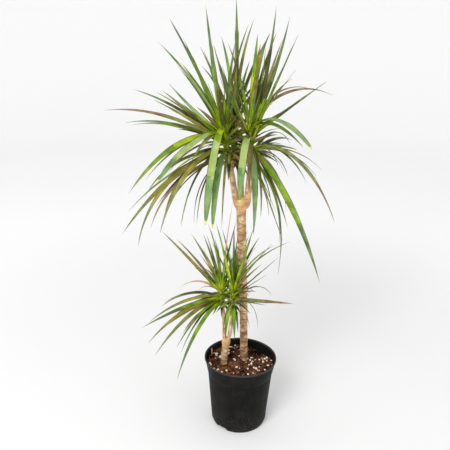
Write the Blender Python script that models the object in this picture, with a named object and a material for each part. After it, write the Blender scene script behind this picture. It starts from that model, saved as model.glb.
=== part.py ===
"""Potted Madagascar dragon tree: two bare canes in a black nursery pot.

The tall cane forks into three boughs and the short one into two, and each bough ends in a
head of narrow strap leaves. Metres, +Z up. The origin is the middle of the pot's flat
underside, and -Y is the front.
"""
import math
import random

import bmesh
import bpy
from mathutils import Vector
from mathutils.bvhtree import BVHTree

# Clear space between pieces that touch
CLEARANCE = 0.0003

# Pot, a slim cone with a collar that flares to a lip
POT_HEIGHT = 0.216
POT_RIM_RADIUS = 0.108
POT_FOOT_RADIUS = 0.0795
POT_FOOT_HEIGHT = 0.009
POT_FOOT_STRAIGHT = 0.0065
POT_CORNER_SETBACK = 0.0008
POT_WALL = 0.0024
POT_FLOOR = 0.003
POT_INNER_CORNER = 0.004
# Height and outer radius where the wall starts, where its collar starts, and at the top
POT_WALL_LINE = ((0.011, 0.0836), (0.169, 0.0971), (0.216, 0.1076))
POT_COLLAR_STEP = 0.0006
POT_COLLAR_ROUND = 0.0012
POT_LIP_HEIGHT = 0.0056
POT_LIP_ROUND = 0.0012
POT_SIDES = 56
DRAIN_ANGLES = (232, 352, 112)
DRAIN_WIDTH = 0.034
DRAIN_HEIGHT = 0.0095
DRAIN_DEPTH = 0.008
DRAIN_STEPS = 8
DRAIN_SQUARENESS = 0.6

# Soil
SOIL_LEVEL = 0.1957
SOIL_RINGS = (0.16, 0.32, 0.47, 0.62, 0.76, 0.89, 1)
SOIL_HOLLOW = 0.014
SOIL_HOLLOW_PLACE = (0.055, 0.055)
SOIL_HOLLOW_REACH = 0.040
SOIL_CROWN = 0.005
SOIL_WAVES = (31, 37)
SOIL_PHASES = (1.3, -0.6)
CANE_PATCH = 0.019

# Canes and boughs: places along the middle line, with the radius there
LIMB_SIDES = 12
LIMB_STEP = 0.022
TALL_CANE = (
    ((0.011, 0.015, 0.196), 0.0100),
    ((0.010, 0.015, 0.215), 0.0116),
    ((0.007, 0.015, 0.300), 0.0118),
    ((0.003, 0.015, 0.395), 0.0122),
    ((-0.002, 0.010, 0.480), 0.0127),
    ((-0.006, 0.005, 0.556), 0.0133),
    ((-0.010, -0.002, 0.640), 0.0134),
    ((-0.0115, -0.005, 0.682), 0.0138),
    ((-0.0118, -0.005, 0.699), 0.0200),
    ((-0.0118, -0.004, 0.709), 0.0190),
    ((-0.0118, -0.003, 0.715), 0.0120),
)
SHORT_CANE = (
    ((-0.0494, -0.0117, 0.196), 0.0095),
    ((-0.0490, -0.0117, 0.215), 0.0103),
    ((-0.0460, -0.0117, 0.250), 0.0102),
    ((-0.0442, -0.0117, 0.268), 0.0128),
    ((-0.0438, -0.0117, 0.279), 0.0122),
    ((-0.0438, -0.0117, 0.284), 0.0070),
)

# Shoots: the foot and the tip of each leafy shoot, and the radius of the bough inside it
SHOOTS = {
    "head_left": ((-0.046, -0.015, 0.808), (-0.063, -0.020, 0.894), 0.0072),
    "head_right": ((0.009, -0.015, 0.814), (0.006, -0.020, 0.895), 0.0070),
    "head_back": ((-0.034, 0.042, 0.820), (-0.037, 0.055, 0.908), 0.0070),
    "low_head_left": ((-0.058, -0.012, 0.389), (-0.060, -0.012, 0.444), 0.0052),
    "low_head_right": ((-0.028, -0.012, 0.391), (-0.025, -0.012, 0.440), 0.0050),
}

# Boughs below their shoots, from the fork: places and radii
BOUGHS = {
    "bough_left": ("head_left", (
        ((-0.0235, -0.0095, 0.695), 0.0088),
        ((-0.0320, -0.0115, 0.738), 0.0086),
        ((-0.0390, -0.0135, 0.775), 0.0080),
    )),
    "bough_right": ("head_right", (
        ((0.0010, -0.0100, 0.695), 0.0090),
        ((0.0050, -0.0125, 0.735), 0.0086),
        ((0.0075, -0.0140, 0.775), 0.0078),
    )),
    "bough_back": ("head_back", (
        ((-0.0135, 0.0105, 0.696), 0.0086),
        ((-0.0200, 0.0190, 0.735), 0.0082),
        ((-0.0275, 0.0310, 0.780), 0.0076),
    )),
    "low_bough_left": ("low_head_left", (
        ((-0.0498, -0.0117, 0.270), 0.0056),
        ((-0.0502, -0.0117, 0.310), 0.0058),
        ((-0.0520, -0.0117, 0.350), 0.0056),
    )),
    "low_bough_right": ("low_head_right", (
        ((-0.0375, -0.0117, 0.270), 0.0052),
        ((-0.0335, -0.0117, 0.305), 0.0054),
        ((-0.0300, -0.0117, 0.345), 0.0053),
    )),
}
FORK_OF = {
    "cane_tall": ("bough_left", "bough_right", "bough_back"),
    "cane_short": ("low_bough_left", "low_bough_right"),
}

# Each shoot carries a tuft over the bough's tip, and skirts of leaves round the bough
BOUGH_SHARE = 0.45
STEM_SHOULDER = 0.75
STEM_TOP = 1.08
STEM_TOP_SHARE = 0.6
SHEATH_FOOT = -0.04
SHEATH_WALL = 0.0042
SHEATH_STEPS = 5
ROOT_SINK = 0.45
SKIRT_GAP_DEGREES = 5
ROOT_DEGREES = 28
SKIRTS = {
    "head_left": (4, 0),
    "head_right": (4, 0),
    "head_back": (3, 90),
    "low_head_left": (3, 60),
    "low_head_right": (3, 60),
}

# Leaves
LEAF_STEPS = 7
LEAF_THICKNESS = 0.014
TIP_THICKNESS_SHARE = 0.5
ROOT_WIDTH = 0.36
WIDEST_AT = 0.35
TIP_FULLNESS = 2.2
LIGHT_TURN = 42
TURN_SPREAD = 14
TEST_MARGIN = 0.0012
# Degrees of lift and swing, tried in turn for a leaf that would touch another piece
NUDGES = (
    (0, 0), (4, 0), (-4, 0), (0, 5), (0, -5), (6, 6), (6, -6), (-6, 6), (-6, -6),
    (10, 0), (-10, 0), (0, 10), (0, -10),
)

# Leaves that show from the front. Level runs from 0 at the foot of the shoot to 1 at its tip;
# azimuth is the way the leaf points, with 0 to the right, 90 to the back and 270 to the front.
# It leaves the shoot at the angle of rise and ends at the angle of fall, both over the level,
# and a bend below 1 droops early, above 1 late.
# level, azimuth, rise, fall, length in cm, width in mm, bend
SEEN_LEAVES = {
    "head_left": (
        (0.6, 200, 68, 43, 31, 15, 0.9),
        (0.6, 145, 66, 40, 26, 12, 0.8),
        (1.0, 215, 66, 57, 31, 21, 0.5),
        (0.6, 152, 65, 60, 30, 12, 1.0),
        (0.6, 250, 60, 75, 36, 18, 1.0),
        (0.8, 185, 36, 50, 20, 14, 1.0),
        (0.6, 155, 35, 30, 24, 12, 1.0),
        (0.6, 180, 35, 25, 22, 12, 1.0),
        (0.6, 158, 38, 22, 25, 9, 1.0),
        (0.6, 145, 30, 8, 37, 10, 1.0),
        (0.6, 190, 30, -7, 33, 12, 1.5),
        (0.6, 150, 15, -15, 34, 10, 1.5),
        (0.6, 230, 51, -45, 36, 17, 0.5),
        (1.0, 245, 5, -33, 33, 16, 1.0),
        (0.4, 220, -5, -50, 36, 16, 0.8),
        (0.4, 213, -5, -80, 36, 14, 1.0),
        (0.4, 170, -20, -50, 34, 13, 1.0),
        (0.4, 160, -5, -62, 31, 12, 1.0),
        (0.2, 200, -10, -75, 29, 10, 1.0),
        (0.6, 228, 24, -45, 22, 6, 0.8),
        (0.4, 230, 35, -72, 32, 14, 0.5),
        (0.4, 140, -10, -80, 32, 14, 0.5),
        (0.0, 125, -10, -90, 32, 10, 1.0),
        (0.2, 120, -20, -85, 34, 10, 1.0),
        (1.0, 265, 35, -65, 36, 19, 0.5),
        (0.2, 265, 30, -80, 33, 15, 1.0),
        (0.6, 205, 64, 48, 24, 9, 1.0),
    ),
    "head_back": (
        (0.6, 200, 85, 70, 19, 14, 1.0),
        (1.0, 65, 86, 98, 32, 13, 1.0),
        (1.0, 37, 87, 65, 28, 10, 1.5),
        (0.6, 140, 66, 52, 27, 10, 1.0),
        (0.6, 98, 35, 43, 31, 16, 1.0),
    ),
    "head_right": (
        (1.0, 80, 83, 70, 25, 16, 1.0),
        (1.0, 85, 65, 15, 35, 10, 1.0),
        (0.6, 45, 70, 85, 35, 13, 1.0),
        (0.6, 280, 90, 20, 35, 14, 1.0),
        (1.0, 12, 65, 80, 30, 13, 1.0),
        (0.6, 70, 55, 40, 36, 10, 1.0),
        (0.6, 322, 65, 64, 30, 20, 1.0),
        (0.8, 195, 57, 75, 25, 18, 1.0),
        (0.6, 195, 90, 65, 18, 9, 1.5),
        (1.0, 40, 85, -20, 35, 10, 0.5),
        (0.8, 5, 38, 37, 24, 12, 1.0),
        (1.0, 290, 47, -20, 38, 16, 0.5),
        (0.2, 50, 33, -20, 19, 10, 1.0),
        (0.2, 70, 25, -34, 40, 10, 1.0),
        (0.4, 300, 24, -53, 40, 13, 1.0),
        (0.4, 43, 0, -46, 30, 10, 1.0),
        (0.4, 307, -10, -60, 40, 18, 0.5),
        (0.0, 20, -32, -97, 36, 13, 0.5),
        (0.0, 45, -60, -63, 29, 12, 0.5),
        (0.2, 55, 10, -60, 23, 12, 1.0),
        (0.4, 72, -18, -32, 36, 10, 1.0),
        (0.6, 264, 35, -80, 30, 19, 1.0),
        (0.4, 277, 25, -103, 26, 17, 0.5),
    ),
    "low_head_left": (
        (0.6, 180, 50, 45, 26, 13, 1.0),
        (0.6, 165, 55, 40, 21, 10, 1.0),
        (1.0, 140, 50, 45, 13, 9, 1.0),
        (1.0, 155, 60, 50, 18, 10, 1.0),
        (1.0, 130, 60, 50, 17, 9, 1.0),
        (0.6, 230, 85, 65, 24, 11, 1.0),
        (0.4, 170, 42, -45, 20, 11, 0.5),
        (0.6, 145, 52, -45, 18, 8, 0.6),
        (0.4, 200, 38, -38, 22, 11, 0.5),
        (0.4, 230, 23, -6, 29, 13, 0.5),
        (0.2, 220, 42, -40, 26, 13, 0.5),
        (0.2, 230, 36, -41, 27, 13, 0.5),
        (0.0, 190, 10, -65, 15, 9, 0.5),
        (0.6, 0, 88, 82, 28, 7, 1.0),
        (0.2, 242, 30, -60, 28, 13, 0.5),
    ),
    "low_head_right": (
        (0.6, 250, 65, 60, 30, 11, 1.0),
        (0.8, 100, 80, 85, 20, 9, 1.0),
        (0.8, 60, 80, 85, 19, 9, 1.0),
        (0.8, 290, 60, 60, 29, 13, 1.0),
        (0.6, 280, 88, 70, 19, 13, 1.0),
        (1.0, 330, 65, 30, 25, 10, 1.0),
        (0.6, 310, 45, 45, 25, 13, 1.0),
        (0.4, 75, 20, -45, 20, 11, 0.5),
        (0.4, 305, 21, 21, 28, 12, 1.0),
        (0.2, 66, 5, -45, 34, 10, 1.0),
        (0.4, 255, 25, -95, 13, 13, 0.5),
        (0.0, 276, 15, -90, 12, 13, 1.0),
        (0.2, 290, -30, -88, 9, 9, 1.0),
        (1.0, 150, 80, 75, 15, 8, 1.0),
    ),
}

# Leaves that fill each head by a seeded rule: how many, and the seed
HIDDEN_LEAVES = {
    "head_left": (16, 11),
    "head_right": (16, 12),
    "head_back": (28, 13),
    "low_head_left": (12, 14),
    "low_head_right": (12, 15),
}
GOLDEN_ANGLE = 137.5
# Degrees about the back that the oldest, the middle and the newest of them spread over
HIDDEN_SPREAD = (70, 50, 80)
# Angles that the oldest and the newest leave the shoot at and end at, and how far each strays
HIDDEN_RISE = (-5, 82)
HIDDEN_RISE_STRAY = 6
HIDDEN_FALL = (-85, 55)
HIDDEN_FALL_STRAY = 8
HIDDEN_BEND = 0.8
HIDDEN_LENGTH = {"head": (26, 32), "low": (18, 23)}
HIDDEN_WIDTH = {"head": 15, "low": 11}
HIDDEN_WIDTH_STRAY = (0.8, 1.15)


def clear_scene():
    for old in list(bpy.data.objects):
        bpy.data.objects.remove(old, do_unlink=True)


def material(name, colour, roughness):
    made = bpy.data.materials.new(name)
    made.use_nodes = True
    shader = made.node_tree.nodes["Principled BSDF"]
    shader.inputs["Base Color"].default_value = (*colour, 1)
    shader.inputs["Roughness"].default_value = roughness
    shader.inputs["Metallic"].default_value = 0
    return made


def mesh_object(name, points, faces, finish):
    mesh = bpy.data.meshes.new(name)
    mesh.from_pydata([tuple(point) for point in points], [], faces)
    mesh.materials.append(finish)
    made = bpy.data.objects.new(name, mesh)
    bpy.context.collection.objects.link(made)
    return made


def outward(made):
    shape = bmesh.new()
    shape.from_mesh(made.data)
    bmesh.ops.recalc_face_normals(shape, faces=shape.faces)
    shape.to_mesh(made.data)
    shape.free()
    return made


def mix(first, second, share):
    return first + (second - first) * share


def direction(azimuth, pitch):
    turn = math.radians(azimuth)
    lift = math.radians(pitch)
    return Vector((math.cos(lift) * math.cos(turn), math.cos(lift) * math.sin(turn), math.sin(lift)))


def turned(name, profile, sides, finish):
    """A closed solid of revolution about Z, from (radius, height) pairs that end on the axis."""
    points = []
    faces = []
    for radius, height in profile:
        if radius == 0:
            points.append(Vector((0, 0, height)))
            continue
        for side in range(sides):
            angle = math.tau * side / sides
            points.append(Vector((radius * math.cos(angle), radius * math.sin(angle), height)))
    starts = []
    count = 0
    for radius, height in profile:
        starts.append(count)
        count += 1 if radius == 0 else sides
    for index in range(len(profile) - 1):
        low, high = starts[index], starts[index + 1]
        for side in range(sides):
            after = (side + 1) % sides
            if profile[index][0] == 0:
                faces.append((low, high + side, high + after))
            elif profile[index + 1][0] == 0:
                faces.append((low + after, low + side, high))
            else:
                faces.append((low + side, low + after, high + after, high + side))
    return outward(mesh_object(name, points, faces, finish))


def cut(target, cutter):
    """Cut one closed shape out of another and remove the cutter."""
    modifier = target.modifiers.new("cut", "BOOLEAN")
    modifier.object = cutter
    modifier.operation = "DIFFERENCE"
    apply_modifiers(target)
    bpy.data.objects.remove(cutter, do_unlink=True)


def apply_modifiers(target):
    """Turn the evaluated mesh into the object's own mesh."""
    evaluated = target.evaluated_get(bpy.context.evaluated_depsgraph_get())
    mesh = bpy.data.meshes.new_from_object(evaluated)
    target.modifiers.clear()
    old = target.data
    target.data = mesh
    bpy.data.meshes.remove(old)


def wall_radius(height):
    """Radius of the pot's wall outside: one slope up to the collar and a steeper one above."""
    start, collar, top = POT_WALL_LINE
    low, high = (start, collar) if height < collar[0] else (collar, top)
    return mix(low[1], high[1], (height - low[0]) / (high[0] - low[0]))


def inner_radius(height):
    if height < POT_FOOT_HEIGHT:
        return POT_FOOT_RADIUS - POT_WALL
    return wall_radius(height) - POT_WALL


def make_pot(finish):
    corner_height, corner_radius = POT_WALL_LINE[0]
    collar_height, collar_radius = POT_WALL_LINE[1]
    lip_foot = POT_HEIGHT - POT_LIP_HEIGHT
    shoulder = POT_FOOT_HEIGHT + POT_WALL
    profile = [
        (0, 0),
        (POT_FOOT_RADIUS, 0),
        (POT_FOOT_RADIUS, POT_FOOT_STRAIGHT),
        (corner_radius - POT_CORNER_SETBACK, POT_FOOT_HEIGHT),
        (corner_radius, corner_height),
        (collar_radius, collar_height),
        (collar_radius + POT_COLLAR_STEP, collar_height + POT_COLLAR_ROUND),
        (wall_radius(lip_foot), lip_foot),
        (POT_RIM_RADIUS, lip_foot + POT_LIP_ROUND),
        (POT_RIM_RADIUS, POT_HEIGHT - POT_LIP_ROUND),
        (POT_RIM_RADIUS - POT_LIP_ROUND, POT_HEIGHT),
        (inner_radius(POT_HEIGHT), POT_HEIGHT),
        (inner_radius(collar_height), collar_height),
        (inner_radius(shoulder), shoulder),
        (inner_radius(POT_FLOOR), shoulder - POT_INNER_CORNER),
        (inner_radius(POT_FLOOR), POT_FLOOR),
        (0, POT_FLOOR),
    ]
    pot = turned("pot", profile, POT_SIDES, finish)
    for angle in DRAIN_ANGLES:
        cut(pot, drain_cutter(angle))
    return pot


def drain_cutter(angle):
    """A low arch that opens the foot of the wall, pointing along its radius."""
    half = DRAIN_WIDTH / 2
    arch = [(-half, -DRAIN_HEIGHT), (half, -DRAIN_HEIGHT)]
    for step in range(DRAIN_STEPS + 1):
        turn = math.pi * step / DRAIN_STEPS
        arch.append((half * math.cos(turn), DRAIN_HEIGHT * math.sin(turn) ** DRAIN_SQUARENESS))
    near = POT_FOOT_RADIUS - DRAIN_DEPTH
    far = POT_RIM_RADIUS
    outward_way = direction(angle, 0)
    sideways = direction(angle + 90, 0)
    points = []
    for reach in (near, far):
        for across, height in arch:
            points.append(outward_way * reach + sideways * across + Vector((0, 0, height)))
    count = len(arch)
    faces = [tuple(range(count)), tuple(range(2 * count - 1, count - 1, -1))]
    for index in range(count):
        after = (index + 1) % count
        faces.append((index, index + count, after + count, after))
    return outward(mesh_object("drain_cutter", points, faces, None))


def soil_height(x, y):
    """Soil mounds a little, sinks at the back right, and is level where the canes stand."""
    reach = min(1, math.hypot(x, y) / inner_radius(SOIL_LEVEL))
    wave = math.sin(SOIL_WAVES[0] * x + SOIL_PHASES[0]) * math.cos(SOIL_WAVES[1] * y + SOIL_PHASES[1])
    mound = SOIL_CROWN * math.cos(reach * math.pi / 2) * wave
    hollow_x, hollow_y = SOIL_HOLLOW_PLACE
    distance = math.hypot(x - hollow_x, y - hollow_y) / SOIL_HOLLOW_REACH
    height = mound - SOIL_HOLLOW * math.exp(-distance * distance)
    for cane in (TALL_CANE, SHORT_CANE):
        foot = cane[0][0]
        apart = math.hypot(x - foot[0], y - foot[1])
        height *= min(1, max(0, apart / CANE_PATCH - 1))
    return SOIL_LEVEL + height


def soil_edge(way):
    """Radius of the soil's edge: as far as the pot's wall leaves at the height it has there."""
    level_edge = inner_radius(SOIL_LEVEL) - CLEARANCE
    return inner_radius(soil_height(way.x * level_edge, way.y * level_edge)) - CLEARANCE


def make_soil(finish):
    ways = [direction(360 * side / POT_SIDES, 0) for side in range(POT_SIDES)]
    points = [Vector((0, 0, soil_height(0, 0)))]
    for share in SOIL_RINGS:
        for way in ways:
            place = way * soil_edge(way) * share
            height = soil_height(place.x, place.y)
            points.append(Vector((place.x, place.y, height)))
    floor = POT_FLOOR + CLEARANCE
    shoulder = POT_FOOT_HEIGHT + POT_WALL
    collar = POT_WALL_LINE[1][0]
    foot_radius = inner_radius(floor) - 2 * CLEARANCE
    below = (
        (inner_radius(collar) - CLEARANCE, collar),
        (inner_radius(shoulder) - 2 * CLEARANCE, shoulder),
        (foot_radius, shoulder - POT_INNER_CORNER),
        (foot_radius, floor),
    )
    for radius, height in below:
        for way in ways:
            points.append(way * radius + Vector((0, 0, height)))
    rings = len(SOIL_RINGS) + len(below)
    faces = []
    for side in range(POT_SIDES):
        after = (side + 1) % POT_SIDES
        faces.append((0, 1 + side, 1 + after))
        for ring in range(rings - 1):
            low = 1 + ring * POT_SIDES
            high = low + POT_SIDES
            faces.append((low + side, high + side, high + after, low + after))
    last = 1 + (rings - 1) * POT_SIDES
    faces.append(tuple(last + side for side in reversed(range(POT_SIDES))))
    return outward(mesh_object("soil", points, faces, finish))


def smooth_line(stations):
    """Places and radii along a smooth line through the stations, about a step apart."""
    line = []
    last = len(stations) - 1
    for index in range(last):
        before = Vector(stations[max(index - 1, 0)][0])
        start = Vector(stations[index][0])
        end = Vector(stations[index + 1][0])
        beyond = Vector(stations[min(index + 2, last)][0])
        pieces = max(1, round((end - start).length / LIMB_STEP))
        for piece in range(pieces):
            share = piece / pieces
            place = 0.5 * (2 * start + (end - before) * share
                           + (2 * before - 5 * start + 4 * end - beyond) * share ** 2
                           + (3 * start - before - 3 * end + beyond) * share ** 3)
            line.append((place, mix(stations[index][1], stations[index + 1][1], share)))
    line.append((Vector(stations[last][0]), stations[last][1]))
    return line


def make_limb(name, line, finish, level_foot=False, swell=0):
    """A tapering limb with flat ends; a level foot is cut flat, as at the soil."""
    points = []
    for index, (place, radius) in enumerate(line):
        ahead = line[min(index + 1, len(line) - 1)][0]
        behind = line[max(index - 1, 0)][0]
        along = (ahead - behind).normalized()
        if level_foot and index == 0:
            along = Vector((0, 0, 1))
        across = along.cross(Vector((0, 1, 0))).normalized()
        other = across.cross(along)
        for side in range(LIMB_SIDES):
            angle = math.tau * side / LIMB_SIDES
            points.append(place + (across * math.cos(angle) + other * math.sin(angle)) * (radius + swell))
    faces = []
    for ring in range(len(line) - 1):
        low = ring * LIMB_SIDES
        high = low + LIMB_SIDES
        for side in range(LIMB_SIDES):
            after = (side + 1) % LIMB_SIDES
            faces.append((low + side, low + after, high + after, high + side))
    faces.append(tuple(reversed(range(LIMB_SIDES))))
    top = (len(line) - 1) * LIMB_SIDES
    faces.append(tuple(top + side for side in range(LIMB_SIDES)))
    return outward(mesh_object(name, points, faces, finish))


def shoot_place(shoot, level):
    foot, tip = SHOOTS[shoot][:2]
    return Vector(foot).lerp(Vector(tip), level)


def bough_line(name):
    """A bough's middle line: curved up to its shoot, and straight inside it."""
    shoot, stations = BOUGHS[name]
    radius = SHOOTS[shoot][2]
    line = smooth_line(stations + ((shoot_place(shoot, SHEATH_FOOT), radius),))
    line.append((shoot_place(shoot, BOUGH_SHARE), radius))
    return line


def make_canes(finish):
    """Both canes and their boughs, each bough's foot in a socket of its cane."""
    for cane_name, stations in (("cane_tall", TALL_CANE), ("cane_short", SHORT_CANE)):
        cane = make_limb(cane_name, smooth_line(stations), finish, level_foot=True)
        for bough_name in FORK_OF[cane_name]:
            line = bough_line(bough_name)
            cut(cane, make_limb("socket", deeper(line), None, swell=CLEARANCE))
            make_limb(bough_name, line, finish)


def deeper(line):
    """The same limb with its foot moved back by the clearance."""
    first, radius = line[0]
    foot = first - (line[1][0] - first).normalized() * CLEARANCE
    return [(foot, radius)] + line[1:]


def leaf_width(share):
    """Width along a leaf as a share of its widest: a narrow root, a long blade, a fine tip."""
    if share < WIDEST_AT:
        return mix(ROOT_WIDTH, 1, math.sin(share / WIDEST_AT * math.pi / 2))
    return 1 - ((share - WIDEST_AT) / (1 - WIDEST_AT)) ** TIP_FULLNESS


def leaf_shape(root, leaf, turn, grow=0):
    """Points and faces of one strap leaf: a flat top between two edges, with a keel below."""
    level, azimuth, rise, fall, length, width, bend = leaf
    reach = length / 100
    half = width / 2000
    depth = LEAF_THICKNESS * reach
    side = direction(azimuth + 90, 0)
    place = Vector(root)
    points = []
    for step in range(LEAF_STEPS + 1):
        share = step / LEAF_STEPS
        pitch = mix(rise, fall, share ** bend)
        along = direction(azimuth, pitch)
        up = along.cross(side)
        tilt = math.radians(turn)
        across = side * math.cos(tilt) + up * math.sin(tilt)
        below = across.cross(along)
        if step == LEAF_STEPS:
            points.append(place + along * grow)
            break
        wide = half * leaf_width(share) + grow
        thick = depth * mix(1, TIP_THICKNESS_SHARE, share) + grow
        points.append(place + across * wide - below * grow)
        points.append(place + below * thick)
        points.append(place - across * wide - below * grow)
        middle = mix(rise, fall, ((step + 0.5) / LEAF_STEPS) ** bend)
        place = place + direction(azimuth, middle) * (reach / LEAF_STEPS)
    faces = [(0, 1, 2)]
    for step in range(LEAF_STEPS - 1):
        low = step * 3
        for corner in range(3):
            after = (corner + 1) % 3
            faces.append((low + corner, low + 3 + corner, low + 3 + after, low + after))
    low = (LEAF_STEPS - 1) * 3
    tip = LEAF_STEPS * 3
    for corner in range(3):
        faces.append((low + corner, tip, low + (corner + 1) % 3))
    return points, faces


def leaf_turn(azimuth, wobble):
    """Leaves at the sides turn their upper faces to the light at the front."""
    return LIGHT_TURN * math.cos(math.radians(azimuth)) + wobble


def hidden_leaves(shoot):
    """Leaves at the back by the golden angle: low ones droop and newer ones stand up."""
    count, seed = HIDDEN_LEAVES[shoot]
    old_spread, middle_spread, new_spread = HIDDEN_SPREAD
    draw = random.Random(seed)
    kind = "low" if shoot.startswith("low") else "head"
    shortest, longest = HIDDEN_LENGTH[kind]
    leaves = []
    for number in range(count):
        age = (number + 0.5) / count
        around = (number * GOLDEN_ANGLE / 360) % 1 - 0.5
        if age < 0.5:
            spread = mix(old_spread, middle_spread, age * 2)
            level = mix(0, 0.4, age * 2)
        else:
            spread = mix(middle_spread, new_spread, age * 2 - 1)
            level = mix(0.6, 1, age * 2 - 1)
        azimuth = 90 + around * spread
        rise = mix(*HIDDEN_RISE, age) + draw.uniform(-HIDDEN_RISE_STRAY, HIDDEN_RISE_STRAY)
        fall = mix(*HIDDEN_FALL, age) + draw.uniform(-HIDDEN_FALL_STRAY, HIDDEN_FALL_STRAY)
        length = draw.uniform(shortest, longest)
        width = HIDDEN_WIDTH[kind] * draw.uniform(*HIDDEN_WIDTH_STRAY)
        leaves.append((level, azimuth, rise, fall, length, width, HIDDEN_BEND))
    return leaves


def near_angle(azimuth, centre, half):
    """The way nearest to an azimuth inside a sector."""
    off = (azimuth - centre + 180) % 360 - 180
    return centre + max(-half, min(half, off))


def skirt_of(shoot, azimuth):
    """Number and middle of the skirt sector that an azimuth falls in."""
    count, first = SKIRTS[shoot]
    width = 360 / count
    number = round((azimuth - first) / width) % count
    return number, first + number * width


def leaf_place(shoot, leaf):
    """The mass that a leaf belongs to, and the place of its root."""
    level, azimuth = leaf[0], leaf[1]
    middle = shoot_place(shoot, level)
    if level > BOUGH_SHARE:
        return shoot + "_tuft", middle
    number, centre = skirt_of(shoot, azimuth)
    half = 180 / SKIRTS[shoot][0] - SKIRT_GAP_DEGREES / 2 - ROOT_DEGREES
    way = near_angle(azimuth, centre, half)
    radius = SHOOTS[shoot][2] + CLEARANCE + SHEATH_WALL * ROOT_SINK
    return shoot + "_skirt_" + str(number + 1), middle + direction(way, 0) * radius


def sheath_shape(shoot, number):
    """A curved sheath of leaf bases on one side of the bough, clear of it and its neighbours."""
    count, first = SKIRTS[shoot]
    centre = first + number * 360 / count
    half = 180 / count - SKIRT_GAP_DEGREES / 2
    inner = SHOOTS[shoot][2] + CLEARANCE
    low = shoot_place(shoot, SHEATH_FOOT)
    high = shoot_place(shoot, BOUGH_SHARE)
    axis = (high - low).normalized()
    points = []
    for step in range(SHEATH_STEPS + 1):
        way = direction(centre - half + 2 * half * step / SHEATH_STEPS, 0)
        way = (way - axis * way.dot(axis)).normalized()
        clear = inner / math.cos(math.pi / LIMB_SIDES)
        points.append(low + way * clear)
        points.append(low + way * (inner + SHEATH_WALL))
        points.append(high + way * (inner + SHEATH_WALL))
        points.append(high + way * clear)
    faces = [(0, 1, 2, 3), tuple(SHEATH_STEPS * 4 + corner for corner in (3, 2, 1, 0))]
    for step in range(SHEATH_STEPS):
        base = step * 4
        for corner in range(4):
            after = (corner + 1) % 4
            faces.append((base + corner, base + 4 + corner, base + 4 + after, base + after))
    return points, faces


def stem_shape(shoot):
    """The leafy stem over the bough's tip."""
    foot, tip, radius = SHOOTS[shoot]
    gap = CLEARANCE / (Vector(tip) - Vector(foot)).length
    line = [
        (shoot_place(shoot, BOUGH_SHARE + gap), radius),
        (shoot_place(shoot, STEM_SHOULDER), radius),
        (shoot_place(shoot, STEM_TOP), radius * STEM_TOP_SHARE),
    ]
    made = make_limb("stem", line, None)
    points = [vertex.co.copy() for vertex in made.data.vertices]
    faces = [tuple(face.vertices) for face in made.data.polygons]
    bpy.data.objects.remove(made, do_unlink=True)
    return points, faces


def tree_of(points, faces):
    return BVHTree.FromPolygons([tuple(point) for point in points], faces)


def plan_masses():
    """Deal the leaves out to masses, leaving out or nudging any that would touch another piece."""
    masses = {}
    taken = []
    for shoot in SHOOTS:
        masses[shoot + "_tuft"] = [stem_shape(shoot)]
        for number in range(SKIRTS[shoot][0]):
            masses[shoot + "_skirt_" + str(number + 1)] = [sheath_shape(shoot, number)]
    for name, shapes in masses.items():
        taken.append((name, tree_of(*shapes[0])))
    for made in bpy.data.objects:
        mesh = made.data
        points = [vertex.co for vertex in mesh.vertices]
        taken.append((made.name, tree_of(points, [tuple(face.vertices) for face in mesh.polygons])))
    for leaves_of in (SEEN_LEAVES.get, hidden_leaves):
        for shoot in SHOOTS:
            draw = random.Random(shoot)
            for leaf in leaves_of(shoot):
                place_leaf(masses, taken, shoot, leaf, draw.uniform(-TURN_SPREAD, TURN_SPREAD))
    return masses


def place_leaf(masses, taken, shoot, leaf, wobble):
    """Add a leaf to its mass at the first nudge that keeps it clear of all other pieces."""
    level, azimuth, rise, fall, length, width, bend = leaf
    for lift, swing in NUDGES:
        tried = (level, azimuth + swing, rise + lift, fall + lift, length, width, bend)
        turn = leaf_turn(azimuth + swing, wobble)
        name, root = leaf_place(shoot, tried)
        tree = tree_of(*leaf_shape(root, tried, turn, TEST_MARGIN))
        if any(other != name and tree.overlap(other_tree) for other, other_tree in taken):
            continue
        masses[name].append(leaf_shape(root, tried, turn))
        taken.append((name, tree))
        return


def make_mass(name, shapes, finish):
    """Fuse a stem or sheath and its leaves into one solid."""
    core_points, core_faces = shapes[0]
    mass = outward(mesh_object(name, core_points, core_faces, finish))
    leaves = bpy.data.collections.new(name + "_leaves")
    bpy.context.scene.collection.children.link(leaves)
    for points, faces in shapes[1:]:
        leaf = outward(mesh_object(name + "_leaf", points, faces, finish))
        bpy.context.collection.objects.unlink(leaf)
        leaves.objects.link(leaf)
    modifier = mass.modifiers.new("fuse", "BOOLEAN")
    modifier.operand_type = "COLLECTION"
    modifier.collection = leaves
    modifier.operation = "UNION"
    apply_modifiers(mass)
    for leaf in list(leaves.objects):
        bpy.data.objects.remove(leaf, do_unlink=True)
    bpy.data.collections.remove(leaves)
    return mass


def main():
    clear_scene()
    plastic = material("pot_plastic", (0.016, 0.016, 0.016), 0.5)
    earth = material("potting_soil", (0.055, 0.022, 0.012), 0.95)
    bark = material("bark", (0.50, 0.34, 0.20), 0.8)
    green = material("leaf", (0.07, 0.19, 0.03), 0.45)
    make_pot(plastic)
    make_soil(earth)
    make_canes(bark)
    for name, shapes in plan_masses().items():
        make_mass(name, shapes, green)


main()
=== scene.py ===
"""Looks of a potted dragon tree: strap leaves, scarred bark, soil and a black nursery pot.

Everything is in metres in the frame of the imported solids: +Z up, the origin in the middle of
the pot's flat underside, and -Y the front.
"""
import math
import random

import bmesh
import bpy
from mathutils import Matrix, Vector, noise
from mathutils.kdtree import KDTree


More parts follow.
